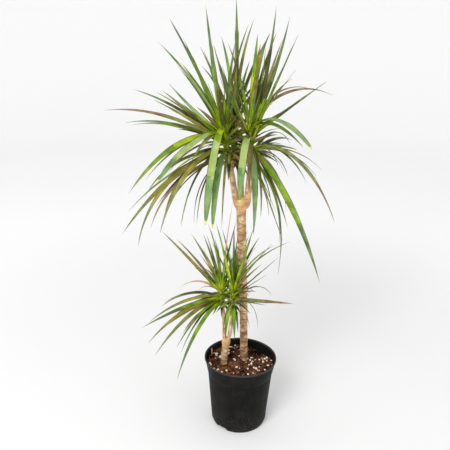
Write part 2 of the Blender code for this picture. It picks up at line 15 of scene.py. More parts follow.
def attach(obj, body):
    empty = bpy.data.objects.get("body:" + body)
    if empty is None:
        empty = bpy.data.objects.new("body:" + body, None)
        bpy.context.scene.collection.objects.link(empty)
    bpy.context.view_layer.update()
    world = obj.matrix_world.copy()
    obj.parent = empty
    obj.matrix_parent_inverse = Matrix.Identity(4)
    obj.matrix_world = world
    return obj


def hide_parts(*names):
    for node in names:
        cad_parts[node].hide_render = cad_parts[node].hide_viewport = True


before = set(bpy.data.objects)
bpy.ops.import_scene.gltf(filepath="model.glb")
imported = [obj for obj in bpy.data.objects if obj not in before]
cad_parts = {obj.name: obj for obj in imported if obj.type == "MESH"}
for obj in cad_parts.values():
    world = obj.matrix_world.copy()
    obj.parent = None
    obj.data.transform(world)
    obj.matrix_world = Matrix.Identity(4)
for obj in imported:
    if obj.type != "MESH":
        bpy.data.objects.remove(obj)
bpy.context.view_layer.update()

# Camera, at the photo's angle
CAMERA_PLACE = (0, -1.429, 1.101)
CAMERA_YAW = 2.22
CAMERA_PITCH = 18.21
CAMERA_ROLL = 1.26
CAMERA_LENS = 43.2
CAMERA_SENSOR = 36

# Stage: a round floor that bends up into a wall far away on all sides. It adds a little light of
# its own, less near the plant than far from it.
FLOOR_RINGS = (0.5, 1.5, 5)
WALL_BEND = 1.5
WALL_HEIGHT = 4.5
STAGE_SIDES = 96
STAGE_BEND_STEPS = 16
STAGE_GLOW = (0.06, 0.19)
STAGE_GLOW_REACH = (0.7, 2.4)
STAGE_COLOUR = (0.765, 0.765, 0.765)
WORLD_STRENGTH = 0.76
# Each light's place, size and power, and the place that both point at
LIGHTS = {"key": ((-1.6, -3.4, 3.6), 2.0, 160), "fill": ((2.2, -1.8, 1.5), 1.8, 7)}
LIGHTS_AIM = (0, 0, 0.6)

# Pot; the wall line gives height and outer radius at the corner, the collar and the top
POT_HEIGHT = 0.216
POT_RIM_RADIUS = 0.108
POT_FOOT_RADIUS = 0.0795
POT_FOOT_EDGE = 0.0008
POT_FOOT_STRAIGHT = 0.0065
POT_WALL = 0.0024
POT_FLOOR = 0.003
POT_WALL_LINE = ((0.011, 0.0836), (0.169, 0.0971), (0.216, 0.1076))
# How the wall curves out from the foot to the corner, as shares of the way out and up
POT_CORNER = ((0.30, 0.22), (0.60, 0.42), (0.84, 0.66), (1.0, 1.0))
POT_COLLAR_STEP = 0.0006
POT_COLLAR_EDGE = 0.0012
POT_COLLAR_ROWS = 12
POT_LIP_HEIGHT = 0.0056
POT_LIP_ROUND = 0.0012
POT_LIP_ARC = (22, 90, 4)
POT_INNER_EDGE = 0.0006
# Heights inside: a row below the lip, the corner, and where the foot's straight part starts
POT_INNER_HEIGHTS = (0.205, 0.0125, 0.0074)
POT_SIDES = 336
POT_ROW = 0.0022
DRAIN_ANGLES = (232, 352, 112)
DRAIN_WIDTH = 0.034
DRAIN_HEIGHT = 0.0095
DRAIN_DEPTH = 0.008
DRAIN_STEPS = 24
DRAIN_SQUARENESS = 0.6
# Moulded rings round a knock-out on the wall above each drain opening
RINGS_HEIGHT = 0.021
RINGS_REACH = 0.0135
RINGS_SPACING = 0.0045
RINGS_RELIEF = 0.0005
RIPPLE = 0.00022

# Soil
SOIL_LEVEL = 0.1957
SOIL_HOLLOW = 0.014
SOIL_HOLLOW_PLACE = (0.055, 0.055)
SOIL_HOLLOW_REACH = 0.040
SOIL_CROWN = 0.005
SOIL_WAVES = (31, 37)
SOIL_PHASES = (1.3, -0.6)
CANE_PATCH = 0.019
SOIL_RINGS = 66
SOIL_SIDES = 300
SOIL_LUMPS = 0.0026
SOIL_LUMP_SCALE = 95
EDGE_LUMPS = (0.4, 1)
CLEARANCE = 0.0003
# The bed that loose pieces are scattered on
BED_RINGS = 40
BED_SIDES = 96
BED_SHARE = 0.97
# Perlite lies in clusters: place of each, its reach, and its share of the crumbs
PERLITE_CLUSTERS = (
    ((0.056, -0.036), 0.010, 1.0),
    ((0.088, 0.000), 0.008, 1.0),
    ((0.074, 0.010), 0.007, 0.8),
    ((0.070, 0.034), 0.010, 0.7),
    ((0.054, 0.026), 0.008, 0.6),
    ((0.033, 0.020), 0.007, 0.7),
    ((0.036, -0.012), 0.008, 0.6),
    ((0.000, -0.046), 0.007, 0.8),
    ((0.016, -0.038), 0.007, 0.5),
    ((-0.072, 0.031), 0.009, 1.0),
    ((-0.084, -0.014), 0.006, 1.0),
    ((-0.082, 0.060), 0.010, 0.6),
    ((-0.029, 0.086), 0.012, 0.9),
    ((-0.036, 0.040), 0.010, 0.4),
    ((-0.050, -0.055), 0.010, 0.4),
)
PERLITE_STRAY = 0.09
ORANGE_STRAY = 0.12
# Places and reaches of the painted shade in the soil's hollows and nooks, and of the orange-brown patches
PAINTED_SHADE_SPOTS = (
    ((0.052, 0.070, 0.188), 0.030),
    ((-0.032, 0.030, 0.196), 0.018),
    ((-0.036, 0.062, 0.196), 0.018),
    ((0.008, -0.052, 0.196), 0.010),
    ((-0.088, 0.020, 0.196), 0.014),
)
ORANGE_SPOTS = (
    ((-0.020, -0.018, 0.198), 0.017),
    ((-0.044, -0.040, 0.198), 0.015),
    ((-0.066, 0.066, 0.198), 0.016),
    ((0.036, -0.050, 0.198), 0.012),
    ((0.070, 0.052, 0.198), 0.012),
)
# The inputs of the tree that scatters loose pieces, with the kind of each
SCATTER_INPUTS = {
    "Bed": "Geometry",
    "Count per square metre": "Float",
    "Smallest": "Float",
    "Largest": "Float",
    "Roughing": "Float",
    "Lay": "Float",
    "Sink": "Float",
    "Seed": "Int",
    "Finish": "Material",
}
# Loose pieces on the soil: shape and finish of each kind, then the inputs from count to seed.
# Lay is how far a piece may lean, in radians.
LOOSE = {
    "peat_crumbs": ("grain", "potting_soil", 290000.0, 0.0009, 0.0032, 0.5, 3.1, 0.0, 3),
    "bark_chips": ("chip", "chip_brown", 26000.0, 0.003, 0.0095, 0.22, 0.55, 0.0, 5),
    "orange_chips": ("chip", "chip_orange", 26000.0, 0.002, 0.0065, 0.25, 0.6, 0.0, 8),
    "pale_grains": ("grain", "grain_pale", 9000.0, 0.0008, 0.0020, 0.4, 3.1, 0.0, 12),
    "perlite": ("ball", "perlite_white", 12500.0, 0.0030, 0.0078, 0.6, 3.1, -0.0008, 21),
    "perlite_dust": ("grain", "perlite_white", 5000.0, 0.0012, 0.0028, 0.4, 3.1, 0.0, 27),
    "fibres": ("fibre", "chip_brown", 9000.0, 0.006, 0.018, 0.22, 0.35, -0.0006, 33),
}
ROUGHING_SCALE = 430
# A pale stick that leans on the wall: its two ends and its thickness
STICK_ENDS = ((-0.0885, 0.0385, 0.1900), (-0.0895, 0.0400, 0.2120))
STICK_RADIUS = 0.0024

# Canes and boughs: places along the middle line, with the radius there
CANES = {
    "cane_tall": (
        ((0.011, 0.015, 0.190), 0.0104),
        ((0.010, 0.015, 0.215), 0.0116),
        ((0.007, 0.015, 0.300), 0.0118),
        ((0.003, 0.015, 0.395), 0.0122),
        ((-0.002, 0.010, 0.480), 0.0127),
        ((-0.006, 0.005, 0.556), 0.0133),
        ((-0.010, -0.002, 0.640), 0.0134),
        ((-0.0115, -0.005, 0.682), 0.0138),
        ((-0.0118, -0.005, 0.699), 0.0225),
        ((-0.0118, -0.004, 0.709), 0.0200),
        ((-0.0118, -0.003, 0.715), 0.0110),
    ),
    "cane_short": (
        ((-0.0496, -0.0117, 0.190), 0.0098),
        ((-0.0490, -0.0117, 0.215), 0.0103),
        ((-0.0460, -0.0117, 0.250), 0.0102),
        ((-0.0442, -0.0117, 0.268), 0.0128),
        ((-0.0438, -0.0117, 0.279), 0.0118),
        ((-0.0438, -0.0117, 0.284), 0.0066),
    ),
}
# Shoots: the foot and the tip of each leafy shoot, and the radius of the bough inside it
SHOOTS = {
    "head_left": ((-0.046, -0.015, 0.808), (-0.063, -0.020, 0.894), 0.0072),
    "head_right": ((0.009, -0.015, 0.814), (0.006, -0.020, 0.895), 0.0070),
    "head_back": ((-0.034, 0.042, 0.820), (-0.037, 0.055, 0.908), 0.0070),
    "low_head_left": ((-0.058, -0.012, 0.389), (-0.060, -0.012, 0.444), 0.0052),
    "low_head_right": ((-0.028, -0.012, 0.391), (-0.025, -0.012, 0.440), 0.0050),
}
BOUGHS = {
    "bough_left": ("head_left", (
        ((-0.0165, -0.0080, 0.682), 0.0074),
        ((-0.0243, -0.0085, 0.698), 0.0097),
        ((-0.0328, -0.0115, 0.738), 0.0084),
        ((-0.0390, -0.0135, 0.775), 0.0080),
    )),
    "bough_right": ("head_right", (
        ((-0.0060, -0.0080, 0.682), 0.0074),
        ((0.0026, -0.0090, 0.698), 0.0101),
        ((0.0064, -0.0125, 0.735), 0.0094),
        ((0.0080, -0.0140, 0.775), 0.0084),
    )),
    "bough_back": ("head_back", (
        ((-0.0120, 0.0060, 0.692), 0.0084),
        ((-0.0140, 0.0190, 0.735), 0.0078),
        ((-0.0205, 0.0310, 0.780), 0.0072),
    )),
    "low_bough_left": ("low_head_left", (
        ((-0.0485, -0.0117, 0.262), 0.0056),
        ((-0.0502, -0.0117, 0.310), 0.0058),
        ((-0.0520, -0.0117, 0.350), 0.0056),
    )),
    "low_bough_right": ("low_head_right", (
        ((-0.0395, -0.0117, 0.262), 0.0052),
        ((-0.0335, -0.0117, 0.305), 0.0054),
        ((-0.0300, -0.0117, 0.345), 0.0053),
    )),
}
FORK_OF = {
    "cane_tall": ("bough_left", "bough_right", "bough_back"),
    "cane_short": ("low_bough_left", "low_bough_right"),
}
# The end of a bough inside its shoot: levels on the shoot, and shares of the bough's radius
BOUGH_ENDS = ((0.45, 1), (0.85, 0.9), (1.05, 0.5))
LIMB_STEP = 0.004
LIMB_SIDES = 32
GUIDE_STEP = 0.001
BARK_VOXEL = 0.0011
FORK_REACH = 0.020
FORK_ROUNDS = 9
SKIN_ROUNDS = 2
EMBER_REACH = 0.023
# How warm each cane's fork is, how brown its foot, and how fast that fades upwards
CANE_AGE = {"cane_tall": (1, 0.85, 1.9), "cane_short": (0.35, 0.28, 0)}
LEAFY_FADE = 0.02
# Small dark knots on the front of the boughs and how large they are
KNOTS = (
    (-0.0310, 0.7170),
    (0.0030, 0.7295),
    (0.0030, 0.7125),
    (-0.0010, 0.7660),
    (-0.0065, 0.6750),
    (-0.0495, 0.3160),
)
KNOT_RADIUS = 0.0019
# Leaf scars on the bark: height between them, how far each dips at its ends, depth and width,
# and how they crowd and fade from the foot of the cane to its top
SCAR_PITCH = 0.0072
SCAR_DIP = (0.0015, 0.0115)
SCAR_DEPTH = 0.0009
SCAR_WIDTH = 0.0014
SCAR_SPAN = 118
SCAR_END = 20
# Strength of the soft band below each scar: a shallow groove, darkened as painted shade
SCAR_SHADE = 0.5
SCAR_STRETCH = (0.68, 0.88)
SCAR_FADE = (1, 0.7)
SCAR_WANDER = 0.0012
BOUGH_SCAR_PITCH = 0.0044
BOUGH_SCAR_DIP = 0.0015
BOUGH_SCAR_DEPTH = 0.0003
BOUGH_SCAR_SHARE = 0.2
WANDER_SCALE = 60
# Fine and coarse roughness of the bark: scale and height
BARK_ROUGH = ((240, 0.00035), (90, 0.0004))

# Leaves below this level of a shoot grow on its sheath round the bough, in skirts: how many
# each head has, and which way the first one points
BOUGH_SHARE = 0.45
SHEATH_FOOT = -0.04
SHEATH_WALL = 0.0042
ROOT_SINK = 0.45
SKIRT_GAP_DEGREES = 5
ROOT_DEGREES = 28
SKIRTS = {
    "head_left": (4, 0),
    "head_right": (4, 0),
    "head_back": (3, 90),
    "low_head_left": (3, 60),
    "low_head_right": (3, 60),
}

# Leaves
BLADE_STEPS = 40
BLADE_ACROSS = (-1, -0.88, -0.45, 0, 0.45, 0.88, 1)
BLADE_THICKNESS = 0.0007
CHANNEL = 0.56
CHANNEL_SPREAD = (1.5, 0.9)
FLUTTER = 0.05
FLUTTER_TURNS = 23
CLASP_WIDTH = 0.95
NECK_WIDTH = 0.82
NECK_AT = 0.07
WIDEST_AT = 0.35
TIP_FULLNESS = 1.6
CUT_FULLNESS = 5
CUT_AT = 0.97
LIGHT_TURN = 42
TURN_SPREAD = 14
TWIST_SPREAD = 16
GOLDEN_ANGLE = 137.5
# How far out the fresh colour of the base runs on a low leaf and on a high one, where a blade
# fades, where its dry tip starts, and how ragged these ends are
FRESH_ENDS = ((0.06, 0.16), (0.18, 0.36))
FADE_STARTS = (0.42, 0.75)
TIP_STARTS = (0.86, 0.97)
RAGGED = 0.025

# Leaves that show from the front. Level runs from 0 at the foot of the shoot to 1 at its tip;
# azimuth is the way the leaf points, with 0 to the right, 90 to the back and 270 to the front.
# It leaves the shoot at the angle of rise and ends at the angle of fall, both over the level,
# and a bend below 1 droops early, above 1 late. The last word is the tint, and cut says that
# the tip was trimmed. The pale and sage tints are painted sheen on leaves that face the sky.
# level, azimuth, rise, fall, length in cm, width in mm, bend, finish
SEEN_LEAVES = {
    "head_left": (
        (0.6, 200, 68, 43, 31, 15, 0.9, "pale"),
        (0.6, 145, 66, 40, 26, 12, 0.8, "deep"),
        (1.0, 215, 66, 57, 31, 21, 0.5, "green"),
        (0.6, 152, 65, 60, 30, 12, 1.0, "green"),
        (0.6, 250, 60, 75, 36, 18, 1.0, "green"),
        (0.8, 185, 36, 50, 20, 14, 1.0, "pale"),
        (0.6, 155, 35, 30, 24, 12, 1.0, "olive"),
        (0.6, 180, 35, 25, 22, 12, 1.0, "olive"),
        (0.6, 158, 38, 22, 25, 9, 1.0, "olive"),
        (0.6, 145, 30, 8, 37, 10, 1.0, "deep"),
        (0.6, 190, 30, -7, 33, 12, 1.5, "worn"),
        (0.6, 150, 15, -15, 34, 10, 1.5, "green"),
        (0.6, 230, 51, -45, 36, 17, 0.5, "lime"),
        (1.0, 245, 5, -33, 33, 16, 1.0, "pale cut"),
        (0.4, 220, -5, -50, 36, 16, 0.8, "olive"),
        (0.4, 213, -5, -80, 36, 14, 1.0, "olive"),
        (0.4, 170, -20, -50, 34, 13, 1.0, "deep"),
        (0.4, 160, -5, -62, 31, 12, 1.0, "deep"),
        (0.2, 200, -10, -75, 29, 10, 1.0, "brown"),
        (0.6, 228, 24, -45, 22, 6, 0.8, "brown"),
        (0.4, 230, 35, -72, 32, 14, 0.5, "olive"),
        (0.4, 140, -10, -80, 32, 14, 0.5, "deep"),
        (0.0, 125, -10, -90, 32, 10, 1.0, "deep"),
        (0.2, 120, -20, -85, 34, 10, 1.0, "deep"),
        (1.0, 265, 35, -65, 36, 19, 0.5, "pale cut"),
        (0.2, 265, 30, -80, 33, 15, 1.0, "sage cut"),
        # A thin dark leaf close under the first one, where that leaf's lower half lies in shadow: painted
        # shade
        (0.6, 205, 64, 48, 24, 9, 1.0, "deep"),
    ),
    "head_back": (
        (0.6, 200, 85, 70, 19, 14, 1.0, "green"),
        (1.0, 65, 86, 98, 32, 13, 1.0, "moss"),
        (1.0, 37, 87, 65, 28, 10, 1.5, "olive"),
        (0.6, 140, 66, 52, 27, 10, 1.0, "olive"),
        (0.6, 98, 35, 43, 31, 16, 1.0, "green"),
    ),
    "head_right": (
        (1.0, 80, 83, 70, 25, 16, 1.0, "lime"),
        (1.0, 85, 65, 15, 35, 10, 1.0, "brown"),
        (0.6, 45, 70, 85, 35, 13, 1.0, "deep"),
        (0.6, 280, 90, 20, 35, 14, 1.0, "olive"),
        (1.0, 12, 65, 80, 30, 13, 1.0, "deep"),
        (0.6, 70, 55, 40, 36, 10, 1.0, "worn"),
        (0.6, 322, 65, 64, 30, 20, 1.0, "green"),
        (0.8, 195, 57, 75, 25, 18, 1.0, "green"),
        (0.6, 195, 90, 65, 18, 9, 1.5, "green"),
        (1.0, 40, 85, -20, 35, 10, 0.5, "brown"),
        (0.8, 5, 38, 37, 24, 12, 1.0, "deep"),
        (1.0, 290, 47, -20, 38, 16, 0.5, "sage cut"),
        (0.2, 50, 33, -20, 19, 10, 1.0, "deep"),
        (0.2, 70, 25, -34, 40, 10, 1.0, "deep"),
        (0.4, 300, 24, -53, 40, 13, 1.0, "worn"),
        (0.4, 43, 0, -46, 30, 10, 1.0, "olive"),
        (0.4, 307, -10, -60, 40, 18, 0.5, "green"),
        (0.0, 20, -32, -97, 36, 13, 0.5, "green"),
        (0.0, 45, -60, -63, 29, 12, 0.5, "olive"),
        (0.2, 55, 10, -60, 23, 12, 1.0, "deep"),
        (0.4, 72, -18, -32, 36, 10, 1.0, "olive"),
        (0.6, 265, 34, -81, 31, 20, 1.0, "pale cut"),
        (0.4, 277, 25, -103, 26, 17, 0.5, "sage"),
    ),
    "low_head_left": (
        (0.6, 180, 50, 45, 26, 13, 1.0, "olive"),
        (0.6, 165, 55, 40, 21, 10, 1.0, "brown"),
        (1.0, 140, 50, 45, 13, 9, 1.0, "deep"),
        (1.0, 155, 60, 50, 18, 10, 1.0, "olive"),
        (1.0, 130, 60, 50, 17, 9, 1.0, "olive"),
        (0.6, 230, 85, 65, 24, 11, 1.0, "lime"),
        (0.4, 170, 42, -45, 20, 11, 0.5, "worn"),
        (0.6, 145, 52, -45, 18, 8, 0.6, "dry"),
        (0.4, 200, 38, -38, 22, 11, 0.5, "olive"),
        (0.4, 230, 23, -6, 29, 13, 0.5, "green"),
        (0.2, 220, 42, -40, 26, 13, 0.5, "olive"),
        (0.2, 230, 36, -41, 27, 13, 0.5, "olive"),
        (0.0, 190, 10, -65, 15, 9, 0.5, "brown"),
        (0.6, 0, 88, 82, 28, 7, 1.0, "dry"),
        (0.2, 242, 30, -60, 28, 13, 0.5, "green"),
    ),
    "low_head_right": (
        (0.6, 250, 65, 60, 30, 11, 1.0, "lime"),
        (0.8, 100, 80, 85, 20, 9, 1.0, "olive"),
        (0.8, 60, 80, 85, 19, 9, 1.0, "green"),
        (0.8, 290, 60, 60, 29, 13, 1.0, "lime"),
        (0.6, 280, 88, 70, 19, 13, 1.0, "green"),
        (1.0, 330, 65, 30, 25, 10, 1.0, "olive"),
        (0.6, 310, 45, 45, 25, 13, 1.0, "deep"),
        (0.4, 75, 20, -45, 20, 11, 0.5, "green"),
        (0.4, 305, 21, 21, 28, 15, 1.0, "worn"),
        (0.2, 66, 5, -45, 34, 10, 1.0, "brown"),
        (0.4, 255, 25, -95, 13, 13, 0.5, "green"),
        (0.0, 276, 15, -90, 12, 13, 1.0, "green"),
        (0.2, 290, -30, -88, 9, 9, 1.0, "deep"),
        (1.0, 150, 80, 75, 15, 8, 1.0, "lime"),
    ),
}
# Leaves that fill each head at the back by a seeded rule: how many, and the seed
HIDDEN_LEAVES = {
    "head_left": (12, 11),
    "head_right": (12, 12),
    "head_back": (18, 13),
    "low_head_left": (12, 14),
    "low_head_right": (12, 15),
}
HIDDEN_SPREAD = (70, 50, 80)
HIDDEN_RISE = (-5, 82)
HIDDEN_RISE_STRAY = 6
HIDDEN_FALL = (-85, 55)
HIDDEN_FALL_STRAY = 8
HIDDEN_BEND = 0.8
HIDDEN_LENGTH = {"head": (26, 32), "low": (18, 23)}
HIDDEN_WIDTH = {"head": 9, "low": 8}
HIDDEN_WIDTH_STRAY = (0.8, 1.15)
HIDDEN_TINTS = ("green", "deep", "olive", "deep", "deep")
# The low heads' blades are a little narrower than in the solids
WIDTH_SHARE = {"head": 1, "low": 0.87}
# Narrower leaves beside those that show: the share of the upright ones that has one, since
# each drooping leaf has one, and how far it strays
BESIDE_SHARE = 0.4
BESIDE_SWING = (3, 9)
BESIDE_STRAY = 6
BESIDE_LENGTH = (0.60, 0.92)
BESIDE_WIDTH = (0.40, 0.75)
BESIDE_TINTS = ("deep", "olive", "deep", "brown", "deep", "green")
# Short leaves all round the foot of each head: how many, the length of the lowest and the
# highest in cm, and their width in mm
INNER_LEAVES = {"head": (24, 4, 15, 11), "low": (18, 3, 11, 8)}
INNER_LEVEL = (0, 0.8)
INNER_RISE = (-35, 62)
INNER_FALL = (-80, 35)
INNER_SWING = 20
INNER_LENGTH_STRAY = (0.8, 1.2)
INNER_TINTS = ("deep", "green", "deep", "olive", "brown", "deep")
# Young leaves in the middle of each head: how many, the shortest and the longest in cm, and
# their width in mm
SPEARS = {"head": (7, 10, 20, 9), "low": (10, 9, 19, 7)}
SPEAR_LEVEL = 0.9
SPEAR_RISE = (60, 86)
SPEAR_DROP = 8
SPEAR_SWING = 15
SPEAR_LENGTH_STRAY = (0.85, 1.05)
SPEAR_TINTS = ("lime", "green", "green")
# Old leaf bases round each shoot: how many, the levels they run over, how many are dry, and
# the spread of their height, flare and half span in degrees
BASES = {"head": 22, "low": 14}
BASE_LEVELS = (-0.28, 0.80)
BASE_DRY_SHARE = 0.35
BASE_HEIGHT = (0.010, 0.018)
BASE_FLARE = (0.001, 0.004)
BASE_SPAN = (50, 75)
BASE_GAP = 0.0008
BASE_THICKNESS = 0.0007
BASE_NARROWING = 0.55
BASE_STEPS = 8
BASE_RISES = 4

# Colours as red, green and blue in linear light: the darker and lighter tone of each tint
LEAF_TINTS = {
    "green": ((0.054, 0.118, 0.005), (0.255, 0.405, 0.032)),
    "olive": ((0.100, 0.095, 0.010), (0.390, 0.355, 0.070)),
    "moss": ((0.038, 0.078, 0.012), (0.195, 0.275, 0.080)),
    "deep": ((0.016, 0.025, 0.003), (0.112, 0.126, 0.024)),
    "lime": ((0.210, 0.300, 0.005), (0.500, 0.610, 0.024)),
    # pale and sage: painted sheen, the grey-green that sky light gives glossy leaves facing up
    "pale": ((0.215, 0.315, 0.068), (0.410, 0.520, 0.190)),
    "sage": ((0.085, 0.170, 0.040), (0.250, 0.380, 0.135)),
    "worn": ((0.066, 0.084, 0.016), (0.290, 0.310, 0.098)),
    "brown": ((0.088, 0.054, 0.016), (0.365, 0.255, 0.110)),
    "dry": ((0.340, 0.200, 0.090), (0.600, 0.420, 0.240)),
    # base: the blade's own paler yellow-green at its foot, made brighter as painted light shining through the
    # leaf
    "base": ((0.270, 0.360, 0.004), (0.520, 0.600, 0.012)),
    "fresh": ((0.090, 0.190, 0.004), (0.290, 0.455, 0.012)),
    "margin": ((0.046, 0.024, 0.007), (0.150, 0.088, 0.032)),
    "tip": ((0.094, 0.064, 0.027), (0.300, 0.225, 0.125)),
    "cut": ((0.620, 0.470, 0.050), (0.780, 0.640, 0.130)),
}
LEAF_STOPS = (0.36, 0.62)
LEAF_SPECULAR = 0.14
DULL_SPECULAR = 0.1
LEAF_ROUGHNESS = (0.34, 0.5)
VEIN_STRETCH = (40, 1500, 1)
VEIN_SHARE = 0.55
CLOUD_SCALE = 26
# What each tint fades to on the outer part of a blade
FADED = {"green": "moss", "lime": "green", "deep": "moss", "olive": "worn", "worn": "brown", "pale": "sage"}

# Tones of what lies in the pot: the scale of its patches, then stops and their colours
SOIL_TONES = {
    "potting_soil": (
        95, (0.38, (0.010, 0.004, 0.003)), (0.50, (0.052, 0.018, 0.009)), (0.62, (0.190, 0.070, 0.030))),
    "chip_brown": (
        160, (0.38, (0.014, 0.006, 0.004)), (0.50, (0.070, 0.026, 0.012)), (0.62, (0.230, 0.092, 0.040))),
    "chip_orange": (220, (0.30, (0.14, 0.050, 0.016)), (0.70, (0.36, 0.17, 0.065))),
    "grain_pale": (300, (0.30, (0.30, 0.22, 0.14)), (0.70, (0.60, 0.50, 0.38))),
    "stick_wood": (240, (0.30, (0.36, 0.20, 0.12)), (0.70, (0.62, 0.40, 0.28))),
    "perlite_white": (260, (0.30, (0.78, 0.62, 0.40)), (0.60, (0.98, 0.92, 0.76))),
}
SPOTTED = ("potting_soil", "chip_brown")
SPOTTED_SPECULAR = 0.12
CRUMB_SPECULAR = 0.2
CRUMB_BUMP = (0.0004, 0.8)
# Colour of the painted shade in the soil's hollows and nooks
PAINTED_SHADE_TONE = (0.007, 0.0035, 0.0025)
ORANGE_TONE = (0.27, 0.105, 0.035)
ORANGE_STRENGTH = 0.45
SPOT_NOISE = 160
# Bark: stops and colours of its young, old and warm tones, and the colours of scars and crumbs;
# the scar colour also paints the shade in a band below each scar
BARK_LIGHT = ((0.35, (0.43, 0.245, 0.110)), (0.5, (0.63, 0.41, 0.215)), (0.64, (0.84, 0.65, 0.42)))
BARK_DARK = ((0.35, (0.110, 0.056, 0.024)), (0.5, (0.290, 0.170, 0.082)), (0.66, (0.56, 0.38, 0.21)))
BARK_WARM = ((0.35, (0.60, 0.26, 0.065)), (0.65, (0.90, 0.52, 0.20)))
SCAR_AND_SHADE_TONE = (0.115, 0.055, 0.025)
BARK_CRUMB_TONE = (0.085, 0.045, 0.025)
BARK_STRETCH = (260, 260, 90)
BARK_PATCHES = 55
BARK_BUMP = (0.0006, 0.7)
# Pot plastic
PLASTIC_TONES = ((0.3, (0.0050, 0.0050, 0.0050)), (0.7, (0.0110, 0.0108, 0.0100)))
SMUDGE_TONE = (0.022, 0.020, 0.017)
DUST_TONE = (0.20, 0.19, 0.17)
# Colour of the lip's top: rubbed wear with a painted highlight
LIP_WEAR_AND_SHEEN_TONE = (0.085, 0.085, 0.08)
STREAK_STRETCH = (210, 210, 9)
SMUDGE_SCALE = 22
DUST_SCALE = 620
PLASTIC_GRAIN = 900
PLASTIC_BUMP = (0.00012, 0.5)


def mix(first, second, share):
    return first + (second - first) * share


def clamped(value):
    return min(1, max(0, value))


def direction(azimuth, pitch=0):
    turn = math.radians(azimuth)
    lift = math.radians(pitch)
    return Vector((math.cos(lift) * math.cos(turn), math.cos(lift) * math.sin(turn), math.sin(lift)))


def mesh_object(name, points, faces, finish=None):
    mesh = bpy.data.meshes.new(name)
    mesh.from_pydata([tuple(point) for point in points], [], faces)
    if finish:
        mesh.materials.append(finish)
    made = bpy.data.objects.new(name, mesh)
    bpy.context.scene.collection.objects.link(made)
    return made


def ringed_mesh(name, rings, finish=None, capped=True):
    """A mesh over rings of points; a ring of one point is a pole, and caps close the ends."""
    points = [point for ring in rings for point in ring]
    faces = []
    first = 0
    for low, high in zip(rings, rings[1:]):
        second = first + len(low)
        sides = max(len(low), len(high))
        for side in range(sides):
            after = (side + 1) % sides
            lower = (first + side % len(low), first + after % len(low))
            upper = (second + side % len(high), second + after % len(high))
            faces.append(tuple(dict.fromkeys((lower[0], *upper, lower[1]))))
        first = second
    if capped and len(rings[0]) > 1:
        faces.append(tuple(reversed(range(len(rings[0])))))
    if capped and len(rings[-1]) > 1:
        faces.append(tuple(range(first, len(points))))
    return mesh_object(name, points, faces, finish)


def smooth(made):
    made.data.polygons.foreach_set("use_smooth", [True] * len(made.data.polygons))
    made.data.update()
    return made


def outward(made):
    """Merge doubles and turn all faces of a closed shape outwards."""
    shape = bmesh.new()
    shape.from_mesh(made.data)
    bmesh.ops.remove_doubles(shape, verts=shape.verts, dist=1e-6)
    bmesh.ops.recalc_face_normals(shape, faces=shape.faces)
    shape.to_mesh(made.data)
    shape.free()
    return made


def apply_modifiers(made):
    """Turn the evaluated mesh into the object's own mesh."""
    bpy.context.view_layer.update()
    evaluated = made.evaluated_get(bpy.context.evaluated_depsgraph_get())
    mesh = bpy.data.meshes.new_from_object(evaluated)
    made.modifiers.clear()
    old = made.data
    made.data = mesh
    bpy.data.meshes.remove(old)
    return made


def add_values(made, label, values):
    """Keep a number for each point of a mesh."""
    made.data.attributes.new(label, "FLOAT", "POINT").data.foreach_set("value", values)


def keep(piece, slot, *nodes):
    """Hand a finished piece to the frame: it rides on the plant and stands for its nodes."""
    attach(piece, "root")
    if nodes:
        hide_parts(*nodes)


# Nodes

def fill(tree, socket, value):
    """Link a socket to another one, or set it to a number, a place or a colour."""
    if isinstance(value, bpy.types.NodeSocket):
        tree.links.new(value, socket)
    elif value is not None:
        socket.default_value = (*value, 1) if socket.type == "RGBA" else value


def add_node(tree, kind, inputs=None, **settings):
    made = tree.nodes.new(kind)
    for name, value in settings.items():
        setattr(made, name, value)
    for name, value in (inputs or {}).items():
        fill(tree, made.inputs[name], value)
    return made


def maths(tree, operation, first, second):
    return add_node(tree, "ShaderNodeMath", {0: first, 1: second}, operation=operation).outputs["Value"]


def vector_maths(tree, operation, first, second=None):
    made = add_node(tree, "ShaderNodeVectorMath", {0: first, 1: second}, operation=operation)
    return made.outputs["Value" if operation in ("DISTANCE", "LENGTH") else "Vector"]


def noise_of(tree, vector, scale, detail=3, roughness=0.6):
    inputs = {"Vector": vector, "Scale": scale, "Detail": detail, "Roughness": roughness}
    return add_node(tree, "ShaderNodeTexNoise", inputs).outputs["Fac"]


def stretched(tree, vector, scale):
    return add_node(tree, "ShaderNodeMapping", {"Vector": vector, "Scale": scale}).outputs["Vector"]


def ramp(tree, value, stops):
    """Colours dealt out along a value, from (place, colour) pairs."""
    made = add_node(tree, "ShaderNodeValToRGB", {"Fac": value})
    elements = made.color_ramp.elements
    while len(elements) < len(stops):
        elements.new(0.5)
    for element, (place, colour) in zip(elements, stops):
        element.position = place
        element.color = (*colour, 1)
    return made.outputs["Color"]


def shares(tree, value, low, high, start=0, end=1, **settings):
    """A value moved from one range to another and held inside it."""
    inputs = {"Value": value, "From Min": low, "From Max": high, "To Min": start, "To Max": end}
    return add_node(tree, "ShaderNodeMapRange", inputs, **settings).outputs["Result"]


def blended(tree, share, first, second):
    """One colour laid over another by a share."""
    made = add_node(tree, "ShaderNodeMix", {0: share}, data_type="RGBA")
    colour_sockets = [socket for socket in made.inputs if socket.type == "RGBA"]
    for socket, value in zip(colour_sockets, (first, second)):
        fill(tree, socket, value)
    return [socket for socket in made.outputs if socket.type == "RGBA"][0]


def attribute(tree, name):
    return add_node(tree, "ShaderNodeAttribute", attribute_name=name).outputs["Fac"]


# Materials

